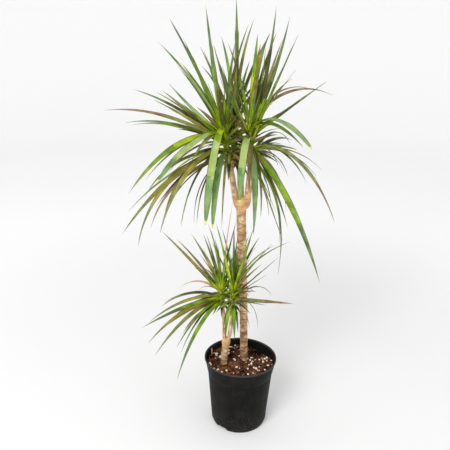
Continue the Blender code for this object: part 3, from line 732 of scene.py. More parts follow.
def new_material(name, specular, roughness=0.95):
    """A material with its node tree, its shader and the place on the object."""
    made = bpy.data.materials.new(name)
    made.use_nodes = True
    tree = made.node_tree
    shader = tree.nodes["Principled BSDF"]
    shader.inputs["Roughness"].default_value = roughness
    shader.inputs["Specular IOR Level"].default_value = specular
    return made, tree, shader, add_node(tree, "ShaderNodeTexCoord").outputs["Object"]


def dress(tree, shader, colour, height, distance, strength):
    """Give the shader its colour and a bump from a height."""
    bump = add_node(tree, "ShaderNodeBump", {"Height": height, "Distance": distance, "Strength": strength})
    tree.links.new(colour, shader.inputs["Base Color"])
    tree.links.new(bump.outputs["Normal"], shader.inputs["Normal"])


def leaf_material(name):
    """A satin blade: fine veins along it and cloudy light and dark between two near tones."""
    specular = DULL_SPECULAR if name in ("dry", "tip") else LEAF_SPECULAR
    made, tree, shader, place = new_material("leaf_" + name, specular)
    blade = add_node(tree, "ShaderNodeUVMap", uv_map="blade").outputs["UV"]
    veins = noise_of(tree, stretched(tree, blade, VEIN_STRETCH), 1, 2)
    clouds = noise_of(tree, place, CLOUD_SCALE, 2)
    tone = maths(tree, "ADD", maths(tree, "MULTIPLY", veins, VEIN_SHARE),
                 maths(tree, "MULTIPLY", clouds, 1 - VEIN_SHARE))
    colour = ramp(tree, tone, tuple(zip(LEAF_STOPS, LEAF_TINTS[name])))
    tree.links.new(shares(tree, clouds, 0.3, 0.7, *LEAF_ROUGHNESS), shader.inputs["Roughness"])
    dress(tree, shader, colour, veins, 0.0002, 0.5)
    return made


def bark_material():
    """Dry tan bark, darker and browner low on the canes, with brown in the leaf scars and painted shade below
    them.
    """
    made, tree, shader, place = new_material("bark", 0.25, 0.85)
    grain = noise_of(tree, stretched(tree, place, BARK_STRETCH), 1, 4, 0.7)
    patches = noise_of(tree, place, BARK_PATCHES)
    young, old = (ramp(tree, patches, stops) for stops in (BARK_LIGHT, BARK_DARK))
    aged = blended(tree, attribute(tree, "brown"), young, old)
    warmed = blended(tree, attribute(tree, "ember"), aged, ramp(tree, grain, BARK_WARM))
    # Scar lines, knots and the painted shade below each scar all take one dark brown
    marked = blended(tree, attribute(tree, "scar_and_shade"), warmed, SCAR_AND_SHADE_TONE)
    crumbs = blended(tree, shares(tree, grain, 0.52, 0.72, 0, 0.42), marked, BARK_CRUMB_TONE)
    dress(tree, shader, crumbs, grain, *BARK_BUMP)
    return made


def pot_material():
    """Matte black moulded plastic: dust, faint upright streaks, and a paler lip, partly rubbed and partly a
    painted highlight.
    """
    made, tree, shader, place = new_material("pot_plastic", 0.05)
    height = add_node(tree, "ShaderNodeSeparateXYZ", {"Vector": place}).outputs["Z"]
    streaks = noise_of(tree, stretched(tree, place, STREAK_STRETCH), 1, 4, 0.65)
    smudges = noise_of(tree, place, SMUDGE_SCALE, 4)
    dust = noise_of(tree, place, DUST_SCALE, 2, 0.5)
    plain = ramp(tree, streaks, PLASTIC_TONES)
    smudged = blended(tree, shares(tree, smudges, 0.48, 0.78, 0, 0.75), plain, SMUDGE_TONE)
    dustier_low = maths(tree, "ADD", dust, shares(tree, height, 0.100, 0.015, 0, 0.10))
    dusty = blended(tree, shares(tree, dustier_low, 0.70, 0.78, 0, 0.75), smudged, DUST_TONE)
    # The top of the lip turns paler: rubbed wear with a painted highlight
    colour = blended(tree, shares(tree, height, 0.2105, 0.2140, 0, 0.55), dusty, LIP_WEAR_AND_SHEEN_TONE)
    tree.links.new(shares(tree, smudges, 0.3, 0.7, 0.42, 0.62), shader.inputs["Roughness"])
    grain = maths(tree, "ADD", noise_of(tree, place, PLASTIC_GRAIN, 2), maths(tree, "MULTIPLY", streaks, 1.5))
    dress(tree, shader, colour, grain, *PLASTIC_BUMP)
    return made


def nearness(tree, place, spot, reach):
    """1 at a spot and 0 at a reach from it, with a ragged edge."""
    ragged = maths(tree, "MULTIPLY", noise_of(tree, place, SPOT_NOISE), reach)
    apart = maths(tree, "ADD", vector_maths(tree, "DISTANCE", place, spot), ragged)
    return shares(tree, apart, reach * 1.5, reach * 0.9)


def crumb_material(name):
    """Rough crumbs in a few tones; the bed is painted near black as shade in hollows and nooks, and orange by
    fresh bark.
    """
    spotted = name in SPOTTED
    scale, *stops = SOIL_TONES[name]
    made, tree, shader, place = new_material(name, SPOTTED_SPECULAR if spotted else CRUMB_SPECULAR)
    colour = ramp(tree, noise_of(tree, place, scale, 3, 0.65), stops)
    if spotted:
        # Painted shade: near black where the soil lies in shade
        for spot, reach in PAINTED_SHADE_SPOTS:
            colour = blended(tree, nearness(tree, place, spot, reach), colour, PAINTED_SHADE_TONE)
        for spot, reach in ORANGE_SPOTS:
            warm = maths(tree, "MULTIPLY", nearness(tree, place, spot, reach), ORANGE_STRENGTH)
            colour = blended(tree, warm, colour, ORANGE_TONE)
    dress(tree, shader, colour, noise_of(tree, place, scale * 5), *CRUMB_BUMP)
    return made


def stage_material():
    """Pale grey paint with a faint glow that grows away from the plant, as lamps on it would."""
    made, tree, shader, place = new_material("stage", 0.1)
    fill(tree, shader.inputs["Base Color"], STAGE_COLOUR)
    fill(tree, shader.inputs["Emission Color"], (1, 1, 1))
    away = vector_maths(tree, "LENGTH", place)
    glow = shares(tree, away, *STAGE_GLOW_REACH, *STAGE_GLOW, interpolation_type="SMOOTHSTEP")
    tree.links.new(glow, shader.inputs["Emission Strength"])
    return made


# Pot

def wall_radius(height):
    start, collar, top = POT_WALL_LINE
    low, high = (start, collar) if height < collar[0] else (collar, top)
    return mix(low[1], high[1], (height - low[0]) / (high[0] - low[0]))


def inner_radius(height):
    if height < POT_WALL_LINE[0][0] + 0.001:
        return POT_FOOT_RADIUS - POT_WALL
    return wall_radius(height) - POT_WALL


def pot_profile():
    """Radius and height along the underside, up outside, over the lip and down inside."""
    corner_height, corner_radius = POT_WALL_LINE[0]
    collar_height, collar_radius = POT_WALL_LINE[1]
    collar_top = collar_height + POT_COLLAR_EDGE
    lip_foot = POT_HEIGHT - POT_LIP_HEIGHT
    round_height = POT_HEIGHT - POT_LIP_ROUND
    profile = [(0.040, 0), (0.070, 0), (POT_FOOT_RADIUS - POT_FOOT_EDGE, 0)]
    profile += [(POT_FOOT_RADIUS, height) for height in (POT_FOOT_EDGE, POT_FLOOR, POT_FOOT_STRAIGHT)]
    for out, up in POT_CORNER:
        profile.append((mix(POT_FOOT_RADIUS, corner_radius, out), mix(POT_FOOT_STRAIGHT, corner_height, up)))
    rows = round((collar_height - corner_height) / POT_ROW)
    heights = [mix(corner_height, collar_height, row / rows) for row in range(1, rows)]
    profile += [(wall_radius(height), height) for height in heights]
    profile += [(collar_radius, collar_height), (collar_radius + POT_COLLAR_STEP, collar_top)]
    for row in range(1, POT_COLLAR_ROWS):
        share = row / POT_COLLAR_ROWS
        height = mix(collar_top, lip_foot, share)
        profile.append((wall_radius(height) + POT_COLLAR_STEP * (1 - share), height))
    profile.append((wall_radius(lip_foot), lip_foot))
    profile.append((POT_RIM_RADIUS - 0.0006, lip_foot + 0.0005))
    profile += [(POT_RIM_RADIUS, lip_foot + POT_LIP_ROUND), (POT_RIM_RADIUS, round_height)]
    start, end, steps = POT_LIP_ARC
    for step in range(steps + 1):
        way = direction(mix(start, end, step / steps)) * POT_LIP_ROUND
        profile.append((POT_RIM_RADIUS - POT_LIP_ROUND + way.x, round_height + way.y))
    profile.append((inner_radius(POT_HEIGHT) + POT_INNER_EDGE, POT_HEIGHT))
    profile.append((inner_radius(POT_HEIGHT), POT_HEIGHT - POT_INNER_EDGE))
    below_lip, corner, foot = POT_INNER_HEIGHTS
    heights = (below_lip, collar_height, corner, foot, POT_FLOOR)
    profile += [(inner_radius(height), height) for height in heights]
    return profile


def wall_relief(angle, height):
    """Moulded rings over each drain opening, and the faint ripple of a blown wall."""
    relief = RIPPLE * noise.noise(Vector((4 * math.cos(angle), 4 * math.sin(angle), height * 14)))
    for drain in DRAIN_ANGLES:
        across = ((angle - math.radians(drain) + math.pi) % math.tau - math.pi) * POT_FOOT_RADIUS
        apart = math.hypot(across, height - RINGS_HEIGHT)
        if apart < RINGS_REACH:
            fade = min(1, (RINGS_REACH - apart) / RINGS_SPACING)
            relief += RINGS_RELIEF * fade * math.cos(math.tau * apart / RINGS_SPACING)
    return relief


def ring_of(radius, height, sides, relief=None):
    """A level ring of points, with a relief by angle and height where one is given."""
    ring = []
    for side in range(sides):
        angle = math.tau * side / sides
        reach = radius + (relief(angle, height) if relief else 0)
        ring.append(Vector((reach * math.cos(angle), reach * math.sin(angle), height)))
    return ring


def make_pot(finish):
    profile = pot_profile()
    corner_height, collar_height = POT_WALL_LINE[0][0], POT_WALL_LINE[1][0]
    peak = max(range(len(profile)), key=lambda row: profile[row][1])
    rings = [[Vector((0, 0, 0))]]
    for row, (radius, height) in enumerate(profile):
        carved = row < peak and corner_height <= height < collar_height
        rings.append(ring_of(radius, height, POT_SIDES, wall_relief if carved else None))
    rings.append([Vector((0, 0, POT_FLOOR))])
    pot = outward(ringed_mesh("pot_shell", rings, finish))
    for angle in DRAIN_ANGLES:
        cutter = drain_cutter(angle)
        modifier = pot.modifiers.new("drain", "BOOLEAN")
        modifier.object = cutter
        modifier.operation = "DIFFERENCE"
        apply_modifiers(pot)
        bpy.data.objects.remove(cutter, do_unlink=True)
    keep(smooth(pot), "pot_plastic", "pot")


def drain_cutter(angle):
    """A low arch that opens the foot of the wall, pointing along its radius."""
    half = DRAIN_WIDTH / 2
    arch = [(-half, -DRAIN_HEIGHT), (half, -DRAIN_HEIGHT)]
    for step in range(DRAIN_STEPS + 1):
        turn = math.pi * step / DRAIN_STEPS
        arch.append((half * math.cos(turn), DRAIN_HEIGHT * math.sin(turn) ** DRAIN_SQUARENESS))
    out, sideways = direction(angle), direction(angle + 90)
    rings = [[out * reach + sideways * across + Vector((0, 0, height)) for across, height in arch]
             for reach in (POT_FOOT_RADIUS - DRAIN_DEPTH, POT_RIM_RADIUS)]
    return outward(ringed_mesh("drain_cutter", rings))


# Soil

def soil_height(x, y):
    """Soil mounds a little, sinks at the back right, and is level where the canes stand."""
    reach = min(1, math.hypot(x, y) / inner_radius(SOIL_LEVEL))
    wave = math.sin(SOIL_WAVES[0] * x + SOIL_PHASES[0]) * math.cos(SOIL_WAVES[1] * y + SOIL_PHASES[1])
    mound = SOIL_CROWN * math.cos(reach * math.pi / 2) * wave
    hollow_x, hollow_y = SOIL_HOLLOW_PLACE
    distance = math.hypot(x - hollow_x, y - hollow_y) / SOIL_HOLLOW_REACH
    height = mound - SOIL_HOLLOW * math.exp(-distance * distance)
    for stations in CANES.values():
        foot = stations[0][0]
        height *= clamped(math.hypot(x - foot[0], y - foot[1]) / CANE_PATCH - 1)
    return SOIL_LEVEL + height


def soil_edge(way):
    level_edge = inner_radius(SOIL_LEVEL) - CLEARANCE
    return inner_radius(soil_height(way.x * level_edge, way.y * level_edge)) - CLEARANCE


def soil_ring(share, sides, fade=1):
    """Points on the lumpy top of the soil, at a share of the way out to its edge."""
    ring = []
    for side in range(sides):
        way = direction(360 * side / sides)
        place = way * soil_edge(way) * share
        crumbs = Vector((place.x, place.y, 0)) * SOIL_LUMP_SCALE
        lump = SOIL_LUMPS * (noise.noise(crumbs) + 0.5 * noise.noise(crumbs * 2.7))
        ring.append(Vector((place.x, place.y, soil_height(place.x, place.y) + lump * fade)))
    return ring


def make_soil(finish):
    """The crumbly top of the soil, closed below by a plug that rests in the pot."""
    rings = [soil_ring(0, 1)]
    for ring in range(1, SOIL_RINGS + 1):
        share = ring / SOIL_RINGS
        rings.append(soil_ring(share, SOIL_SIDES, mix(*EDGE_LUMPS, min(1, (1 - share) * 8))))
    collar = POT_WALL_LINE[1][0]
    corner, foot = POT_INNER_HEIGHTS[1:]
    foot_radius = POT_FOOT_RADIUS - POT_WALL - 2 * CLEARANCE
    rings.append(ring_of(inner_radius(collar) - CLEARANCE, collar, SOIL_SIDES))
    rings.append(ring_of(inner_radius(corner) - 2 * CLEARANCE, corner, SOIL_SIDES))
    rings.append(ring_of(foot_radius, foot, SOIL_SIDES))
    rings.append(ring_of(foot_radius, POT_FLOOR + CLEARANCE, SOIL_SIDES))
    keep(smooth(outward(ringed_mesh("soil_body", rings, finish))), "potting_soil", "soil")


def everywhere(place):
    return 1


def perlite_share(place):
    share = PERLITE_STRAY
    for (x, y), reach, amount in PERLITE_CLUSTERS:
        apart = math.hypot(place.x - x, place.y - y) / reach
        share += amount * math.exp(-apart * apart)
    return min(1, share)


def orange_share(place):
    share = ORANGE_STRAY
    for spot, reach in ORANGE_SPOTS:
        apart = (place - Vector(spot)).length / reach
        share += math.exp(-apart * apart)
    return min(1, share)


def random_value(tree, kind, low, high, seed):
    made = add_node(tree, "FunctionNodeRandomValue", {"Seed": seed}, data_type=kind)
    ends = [socket for socket in made.inputs if socket.enabled and socket.name in ("Min", "Max")]
    for socket, value in zip(ends, (low, high)):
        tree.links.new(value, socket)
    return [socket for socket in made.outputs if socket.enabled][0]


def scatter_tree(name, shape):
    """A node tree that scatters crumbs of one shape and roughs each of them differently."""
    tree = bpy.data.node_groups.new(name, "GeometryNodeTree")
    tree.is_modifier = True
    for label, kind in SCATTER_INPUTS.items():
        tree.interface.new_socket(label, in_out="INPUT", socket_type="NodeSocket" + kind)
    tree.interface.new_socket("Crumbs", in_out="OUTPUT", socket_type="NodeSocketGeometry")
    given = tree.nodes.new("NodeGroupInput").outputs
    seed = given["Seed"]

    weight = add_node(tree, "GeometryNodeInputNamedAttribute", {"Name": "weight"}, data_type="FLOAT")
    density = maths(tree, "MULTIPLY", weight.outputs["Attribute"], given["Count per square metre"])
    points = add_node(tree, "GeometryNodeDistributePointsOnFaces",
                      {"Mesh": given["Bed"], "Density": density, "Seed": seed})
    most = add_node(tree, "ShaderNodeCombineXYZ", {"X": given["Lay"], "Y": given["Lay"], "Z": math.tau})
    most = most.outputs["Vector"]
    least = vector_maths(tree, "MULTIPLY", most, (-1, -1, 0))
    placed = add_node(tree, "GeometryNodeInstanceOnPoints", {
        "Points": points.outputs["Points"],
        "Instance": crumb_shape(tree, shape),
        "Rotation": random_value(tree, "FLOAT_VECTOR", least, most, seed),
        "Scale": random_value(tree, "FLOAT", given["Smallest"], given["Largest"], seed),
    })
    real = add_node(tree, "GeometryNodeRealizeInstances", {"Geometry": placed.outputs["Instances"]})

    where = add_node(tree, "GeometryNodeInputPosition").outputs["Position"]
    rough = add_node(tree, "ShaderNodeTexNoise", {"Vector": where, "Scale": ROUGHING_SCALE, "Detail": 1})
    middle = vector_maths(tree, "SUBTRACT", rough.outputs["Color"], (0.5, 0.5, 0.5))
    amount = maths(tree, "MULTIPLY", given["Largest"], given["Roughing"])
    shift = add_node(tree, "ShaderNodeVectorMath", {0: middle, "Scale": amount}, operation="SCALE")
    down = add_node(tree, "ShaderNodeCombineXYZ", {"Z": given["Sink"]})
    total = vector_maths(tree, "SUBTRACT", shift.outputs["Vector"], down.outputs["Vector"])
    moved = add_node(tree, "GeometryNodeSetPosition", {"Geometry": real.outputs["Geometry"], "Offset": total})
    coloured = add_node(tree, "GeometryNodeSetMaterial",
                        {"Geometry": moved.outputs["Geometry"], "Material": given["Finish"]})
    add_node(tree, "NodeGroupOutput", {"Crumbs": coloured.outputs["Geometry"]})
    return tree


def crumb_shape(tree, shape):
    """A crumb one metre across, to be scaled: a ball, a grain, a chip or a thin fibre."""
    if shape in ("ball", "grain"):
        subdivisions = 2 if shape == "ball" else 1
        return add_node(tree, "GeometryNodeMeshIcoSphere",
                        {"Radius": 0.5, "Subdivisions": subdivisions}).outputs["Mesh"]
    if shape == "chip":
        sizes = {"Size": (1, 0.55, 0.24), "Vertices X": 4, "Vertices Y": 3, "Vertices Z": 2}
        return add_node(tree, "GeometryNodeMeshCube", sizes).outputs["Mesh"]
    sizes = {"Vertices": 5, "Side Segments": 5, "Radius": 0.02, "Depth": 1}
    made = add_node(tree, "GeometryNodeMeshCylinder", sizes).outputs["Mesh"]
    lying = add_node(tree, "GeometryNodeTransform", {"Geometry": made, "Rotation": (math.pi / 2, 0, 0)})
    return lying.outputs["Geometry"]


def scatter(name, finishes):
    """Scatter one kind of loose piece on a patch of the soil and keep it as a plain mesh."""
    shape, finish, *settings = LOOSE[name]
    share_at = {"perlite": perlite_share, "orange_chips": orange_share}.get(name, everywhere)
    rings = [soil_ring(ring / BED_RINGS * BED_SHARE, BED_SIDES) for ring in range(BED_RINGS + 1)]
    bed = ringed_mesh(name, rings, capped=False)
    add_values(bed, "weight", [share_at(point) for ring in rings for point in ring])
    modifier = bed.modifiers.new("scatter", "NODES")
    modifier.node_group = scatter_tree(name + "_tree", shape)
    values = dict(zip(list(SCATTER_INPUTS)[1:], settings + [finishes[finish]]))
    for item in modifier.node_group.interface.items_tree:
        if item.in_out == "INPUT" and item.name in values:
            modifier[item.identifier] = values[item.name]
    keep(apply_modifiers(bed), "potting_soil")


# Canes and boughs

def smooth_line(stations):
    """Places and radii along a smooth line through the stations, about a step apart."""
    line = []
    last = len(stations) - 1
    for index in range(last):
        before = Vector(stations[max(index - 1, 0)][0])
        start = Vector(stations[index][0])
        end = Vector(stations[index + 1][0])
        beyond = Vector(stations[min(index + 2, last)][0])
        pieces = max(1, round((end - start).length / LIMB_STEP))
        for piece in range(pieces):
            share = piece / pieces
            place = 0.5 * (2 * start + (end - before) * share
                           + (2 * before - 5 * start + 4 * end - beyond) * share ** 2
                           + (3 * start - before - 3 * end + beyond) * share ** 3)
            ease = share * share * (3 - 2 * share)
            line.append((place, mix(stations[index][1], stations[index + 1][1], ease)))
    line.append((Vector(stations[last][0]), stations[last][1]))
    return line


def make_limb(name, line, finish=None):
    """A round limb along a line of places and radii."""
    rings = []
    for index, (place, radius) in enumerate(line):
        along = (line[min(index + 1, len(line) - 1)][0] - line[max(index - 1, 0)][0]).normalized()
        across = along.cross(Vector((0, 1, 0))).normalized()
        other = across.cross(along)
        ring = []
        for side in range(LIMB_SIDES):
            angle = math.tau * side / LIMB_SIDES
            ring.append(place + (across * math.cos(angle) + other * math.sin(angle)) * radius)
        rings.append(ring)
    return outward(ringed_mesh(name, rings, finish))


def make_stick(finish):
    """A short pale stick in the soil by the wall of the pot."""
    start, end = (Vector(place) for place in STICK_ENDS)
    line = [(start.lerp(end, step / 4), STICK_RADIUS) for step in range(5)]
    keep(smooth(make_limb("stick", line, finish)), "potting_soil")


def shoot_place(shoot, level):
    foot, tip = SHOOTS[shoot][:2]
    return Vector(foot).lerp(Vector(tip), level)


def bough_line(name):
    shoot, stations = BOUGHS[name]
    radius = SHOOTS[shoot][2]
    line = smooth_line(stations + ((shoot_place(shoot, SHEATH_FOOT), radius),))
    return line + [(shoot_place(shoot, level), radius * share) for level, share in BOUGH_ENDS]


def bark_guide(lines):
    """A search tree over the limbs' middle lines, with the limb and the length along it."""
    places = []
    for number, line in enumerate(lines):
        run = 0
        for (start, _), (end, _) in zip(line, line[1:]):
            steps = max(1, round((end - start).length / GUIDE_STEP))
            for step in range(steps):
                share = step / steps
                places.append((start.lerp(end, share), number, run + (end - start).length * share))
            run += (end - start).length
    tree = KDTree(len(places))
    for index, (place, number, run) in enumerate(places):
        tree.insert(place, index)
    tree.balance()
    return tree, places


def scar_at(run, angle, pitch, dip, seed):
    """How deep in the leaf scars a place on the bark lies, from 0 to 1, counting the painted shade in a soft
    band below each.
    """
    deepest = 0
    for number in range(int((run - dip * 2) / pitch) - 1, int((run + dip * 2) / pitch) + 2):
        draw = noise.noise(Vector((number * 3.71, seed, 0.5)))
        facing = number * GOLDEN_ANGLE + draw * 30
        off = abs((math.degrees(angle) - facing + 180) % 360 - 180)
        if off > SCAR_SPAN:
            continue
        level = number * pitch + draw * pitch * 0.4 + dip * (1 - (off / SCAR_SPAN)) - dip * 0.5
        apart = (run - level) / SCAR_WIDTH
        line = math.exp(-apart * apart)
        # Below the line, a soft band that is both a shallow groove and painted shade
        shade = SCAR_SHADE * math.exp(-apart * apart / 9) if apart < 0 else 0
        deepest = max(deepest, max(line, shade) * min(1, (SCAR_SPAN - off) / SCAR_END))
    return deepest


def wood_skin(name, lines):
    """One even skin over a cane and its boughs."""
    shape = bmesh.new()
    for line in lines:
        limb = make_limb("limb", line)
        shape.from_mesh(limb.data)
        bpy.data.objects.remove(limb, do_unlink=True)
    wood = mesh_object(name, [], [])
    shape.to_mesh(wood.data)
    shape.free()
    modifier = wood.modifiers.new("skin", "REMESH")
    modifier.mode = "VOXEL"
    modifier.voxel_size = BARK_VOXEL
    return apply_modifiers(wood)


def make_wood(name, cane, finish):
    """One cane with its boughs in a single skin, its forks rounded and its bark in relief."""
    stations, boughs = CANES[cane], FORK_OF[cane]
    warmth, oldest, younger = CANE_AGE[cane]
    lines = [smooth_line(stations)] + [bough_line(bough) for bough in boughs]
    wood = wood_skin(name, lines)
    fork = Vector(stations[-3][0])
    foot, cane_top = stations[0][0][2], stations[-3][0][2]
    leafy = [shoot_place(BOUGHS[bough][0], 0).z for bough in boughs]
    shape = bmesh.new()
    shape.from_mesh(wood.data)
    near_fork = [vertex for vertex in shape.verts if (vertex.co - fork).length < FORK_REACH]
    for vertices, rounds in ((near_fork, FORK_ROUNDS), (shape.verts[:], SKIN_ROUNDS)):
        for turn in range(rounds):
            bmesh.ops.smooth_vert(shape, verts=vertices, factor=0.5,
                                  use_axis_x=True, use_axis_y=True, use_axis_z=True)
    shape.normal_update()

    tree, places = bark_guide(lines)
    marks = []
    for vertex in shape.verts:
        centre, index, apart = tree.find(vertex.co)
        number, run = places[index][1:]
        off = vertex.co - centre
        angle = math.atan2(off.y, off.x)
        share = (vertex.co.z - foot) / (cane_top - foot)
        wander = noise.noise(vertex.co * WANDER_SCALE)
        if number == 0:
            dip = mix(*SCAR_DIP, clamped(share * 1.5 - 0.3))
            along = (run + wander * SCAR_WANDER) * mix(*SCAR_STRETCH, share)
            scar_and_shade = scar_at(along, angle, SCAR_PITCH, dip, 1) * mix(*SCAR_FADE, share)
            depth = SCAR_DEPTH
            brown = clamped(oldest - share * younger)
        else:
            along = run + wander * SCAR_WANDER / 2
            scar_and_shade = BOUGH_SCAR_SHARE * scar_at(along, angle, BOUGH_SCAR_PITCH, BOUGH_SCAR_DIP, number + 4)
            depth = BOUGH_SCAR_DEPTH
            brown = clamped((vertex.co.z - leafy[number - 1]) / LEAFY_FADE)
        knuckle = math.exp(-((vertex.co - fork).length / EMBER_REACH) ** 2)
        rough = sum(noise.noise(vertex.co * scale) * height for scale, height in BARK_ROUGH)
        vertex.co += vertex.normal * (rough - depth * scar_and_shade * (1 - 0.7 * knuckle))
        knot = 0
        if vertex.normal.y < -0.3:
            apart = min(math.hypot(vertex.co.x - x, vertex.co.z - z) for x, z in KNOTS)
            knot = math.exp(-(apart / KNOT_RADIUS) ** 2)
        # Kept for each point: scars and knots with the painted shade below each scar, the brown of age, and
        # the fork's warm tone
        marks.append((max(scar_and_shade * (1 - 0.75 * knuckle), knot), clamped(brown + wander * 0.25),
                      min(1, knuckle * warmth + max(0, wander - 0.45) * 1.2)))
    shape.to_mesh(wood.data)
    shape.free()
    for label, values in zip(("scar_and_shade", "brown", "ember"), zip(*marks)):
        add_values(wood, label, values)
    wood.data.materials.append(finish)
    keep(smooth(wood), "bark", cane, *boughs)


# Leaves

def kind_of(shoot):
    return "low" if shoot.startswith("low") else "head"


def hidden_leaves(shoot):
    """Leaves at the back by the golden angle: low ones droop and newer ones stand up."""
    count, seed = HIDDEN_LEAVES[shoot]
    old_spread, middle_spread, new_spread = HIDDEN_SPREAD
    draw = random.Random(seed)
    kind = kind_of(shoot)
    leaves = []
    for number in range(count):
        age = (number + 0.5) / count
        around = (number * GOLDEN_ANGLE / 360) % 1 - 0.5
        if age < 0.5:
            spread = mix(old_spread, middle_spread, age * 2)
            level = mix(0, 0.4, age * 2)
        else:
            spread = mix(middle_spread, new_spread, age * 2 - 1)
            level = mix(0.6, 1, age * 2 - 1)
        rise = mix(*HIDDEN_RISE, age) + draw.uniform(-HIDDEN_RISE_STRAY, HIDDEN_RISE_STRAY)
        fall = mix(*HIDDEN_FALL, age) + draw.uniform(-HIDDEN_FALL_STRAY, HIDDEN_FALL_STRAY)
        length = draw.uniform(*HIDDEN_LENGTH[kind])
        width = HIDDEN_WIDTH[kind] * draw.uniform(*HIDDEN_WIDTH_STRAY)
        tint = HIDDEN_TINTS[number % len(HIDDEN_TINTS)]
        leaves.append((level, 90 + around * spread, rise, fall, length, width, HIDDEN_BEND, tint))
    return leaves


def beside_leaves(shoot):
    """Narrower and shorter leaves that stand close beside the leaves that show."""
    draw = random.Random("beside " + shoot)
    leaves = []
    for number, (level, azimuth, rise, fall, length, width, bend, _) in enumerate(SEEN_LEAVES[shoot]):
        chance = draw.random()
        if fall > 0 and chance > BESIDE_SHARE:
            continue
        azimuth += draw.uniform(*BESIDE_SWING) * draw.choice((-1, 1))
        lift = draw.uniform(-BESIDE_STRAY, BESIDE_STRAY)
        length *= draw.uniform(*BESIDE_LENGTH)
        width *= draw.uniform(*BESIDE_WIDTH)
        tint = BESIDE_TINTS[number % len(BESIDE_TINTS)]
        leaves.append((level, azimuth, rise + lift, fall + lift, length, width, bend, tint))
    return leaves


def inner_leaves(shoot):
    """Short leaves all round the foot of a head, the lowest drooping and the highest upright."""
    count, shortest, longest, width = INNER_LEAVES[kind_of(shoot)]
    draw = random.Random("inner " + shoot)
    leaves = []
    for number in range(count):
        age = (number + 0.5) / count
        length = mix(shortest, longest, age) * draw.uniform(*INNER_LENGTH_STRAY)
        azimuth = number * GOLDEN_ANGLE + draw.uniform(-INNER_SWING, INNER_SWING)
        level, rise, fall = (mix(*ends, age) for ends in (INNER_LEVEL, INNER_RISE, INNER_FALL))
        tint = INNER_TINTS[number % len(INNER_TINTS)]
        leaves.append((level, azimuth, rise, fall, length, width * draw.uniform(*HIDDEN_WIDTH_STRAY),
                       HIDDEN_BEND, tint))
    return leaves


def spear_leaves(shoot):
    """Young leaves that still stand close together in the middle of a head."""
    count, shortest, longest, width = SPEARS[kind_of(shoot)]
    draw = random.Random("spears " + shoot)
    leaves = []
    for number in range(count):
        share = number / count
        rise = mix(*SPEAR_RISE, share)
        length = mix(longest, shortest, share) * draw.uniform(*SPEAR_LENGTH_STRAY)
        azimuth = number * GOLDEN_ANGLE + draw.uniform(-SPEAR_SWING, SPEAR_SWING)
        tint = SPEAR_TINTS[number % len(SPEAR_TINTS)]
        leaves.append((1.0, azimuth, rise, rise - SPEAR_DROP, length, width, 1.0, tint))
    return leaves


def leaf_root(shoot, level, azimuth):
    """Where a leaf grows from: the shoot's middle high up, its sheath round the bough low down."""
    middle = shoot_place(shoot, level)
    if level > BOUGH_SHARE:
        return middle
    count, first = SKIRTS[shoot]
    width = 360 / count
    centre = first + round((azimuth - first) / width) % count * width
    half = width / 2 - SKIRT_GAP_DEGREES / 2 - ROOT_DEGREES
    off = (azimuth - centre + 180) % 360 - 180
    radius = SHOOTS[shoot][2] + CLEARANCE + SHEATH_WALL * ROOT_SINK
    return middle + direction(centre + max(-half, min(half, off))) * radius


def blade_width(share, fullness):
    """Width along a blade as a share of its widest: a clasping base, a neck, a fine tip."""
    if share < NECK_AT:
        return mix(CLASP_WIDTH, NECK_WIDTH, share / NECK_AT)
    if share < WIDEST_AT:
        turn = (share - NECK_AT) / (WIDEST_AT - NECK_AT)
        return mix(NECK_WIDTH, 1, math.sin(turn * math.pi / 2))
    return 1 - ((share - WIDEST_AT) / (1 - WIDEST_AT)) ** fullness


def blade_finish(share, column, tint, ends, ragged):
    """Which of the leaf's finishes a face takes, by its place along and across the blade."""
    base_end, fade_start, tip_start = ends
    if tint == "dry":
        return "dry"
    if column in (0, len(BLADE_ACROSS) - 2) and share > 0.05:
        return "margin"
    along = share + ragged
    if along > tip_start:
        return "tip"
    if along < base_end * 0.6:
        return "base"
    if along < base_end:
        return "fresh"
    return FADED.get(tint, tint) if along > fade_start else tint


def new_pile():
    return {"points": [], "faces": [], "finishes": [], "uvs": []}


def add_face(pile, corners, uvs, finish):
    pile["faces"].append(corners)
    pile["uvs"].append(uvs)
    pile["finishes"].append(finish)


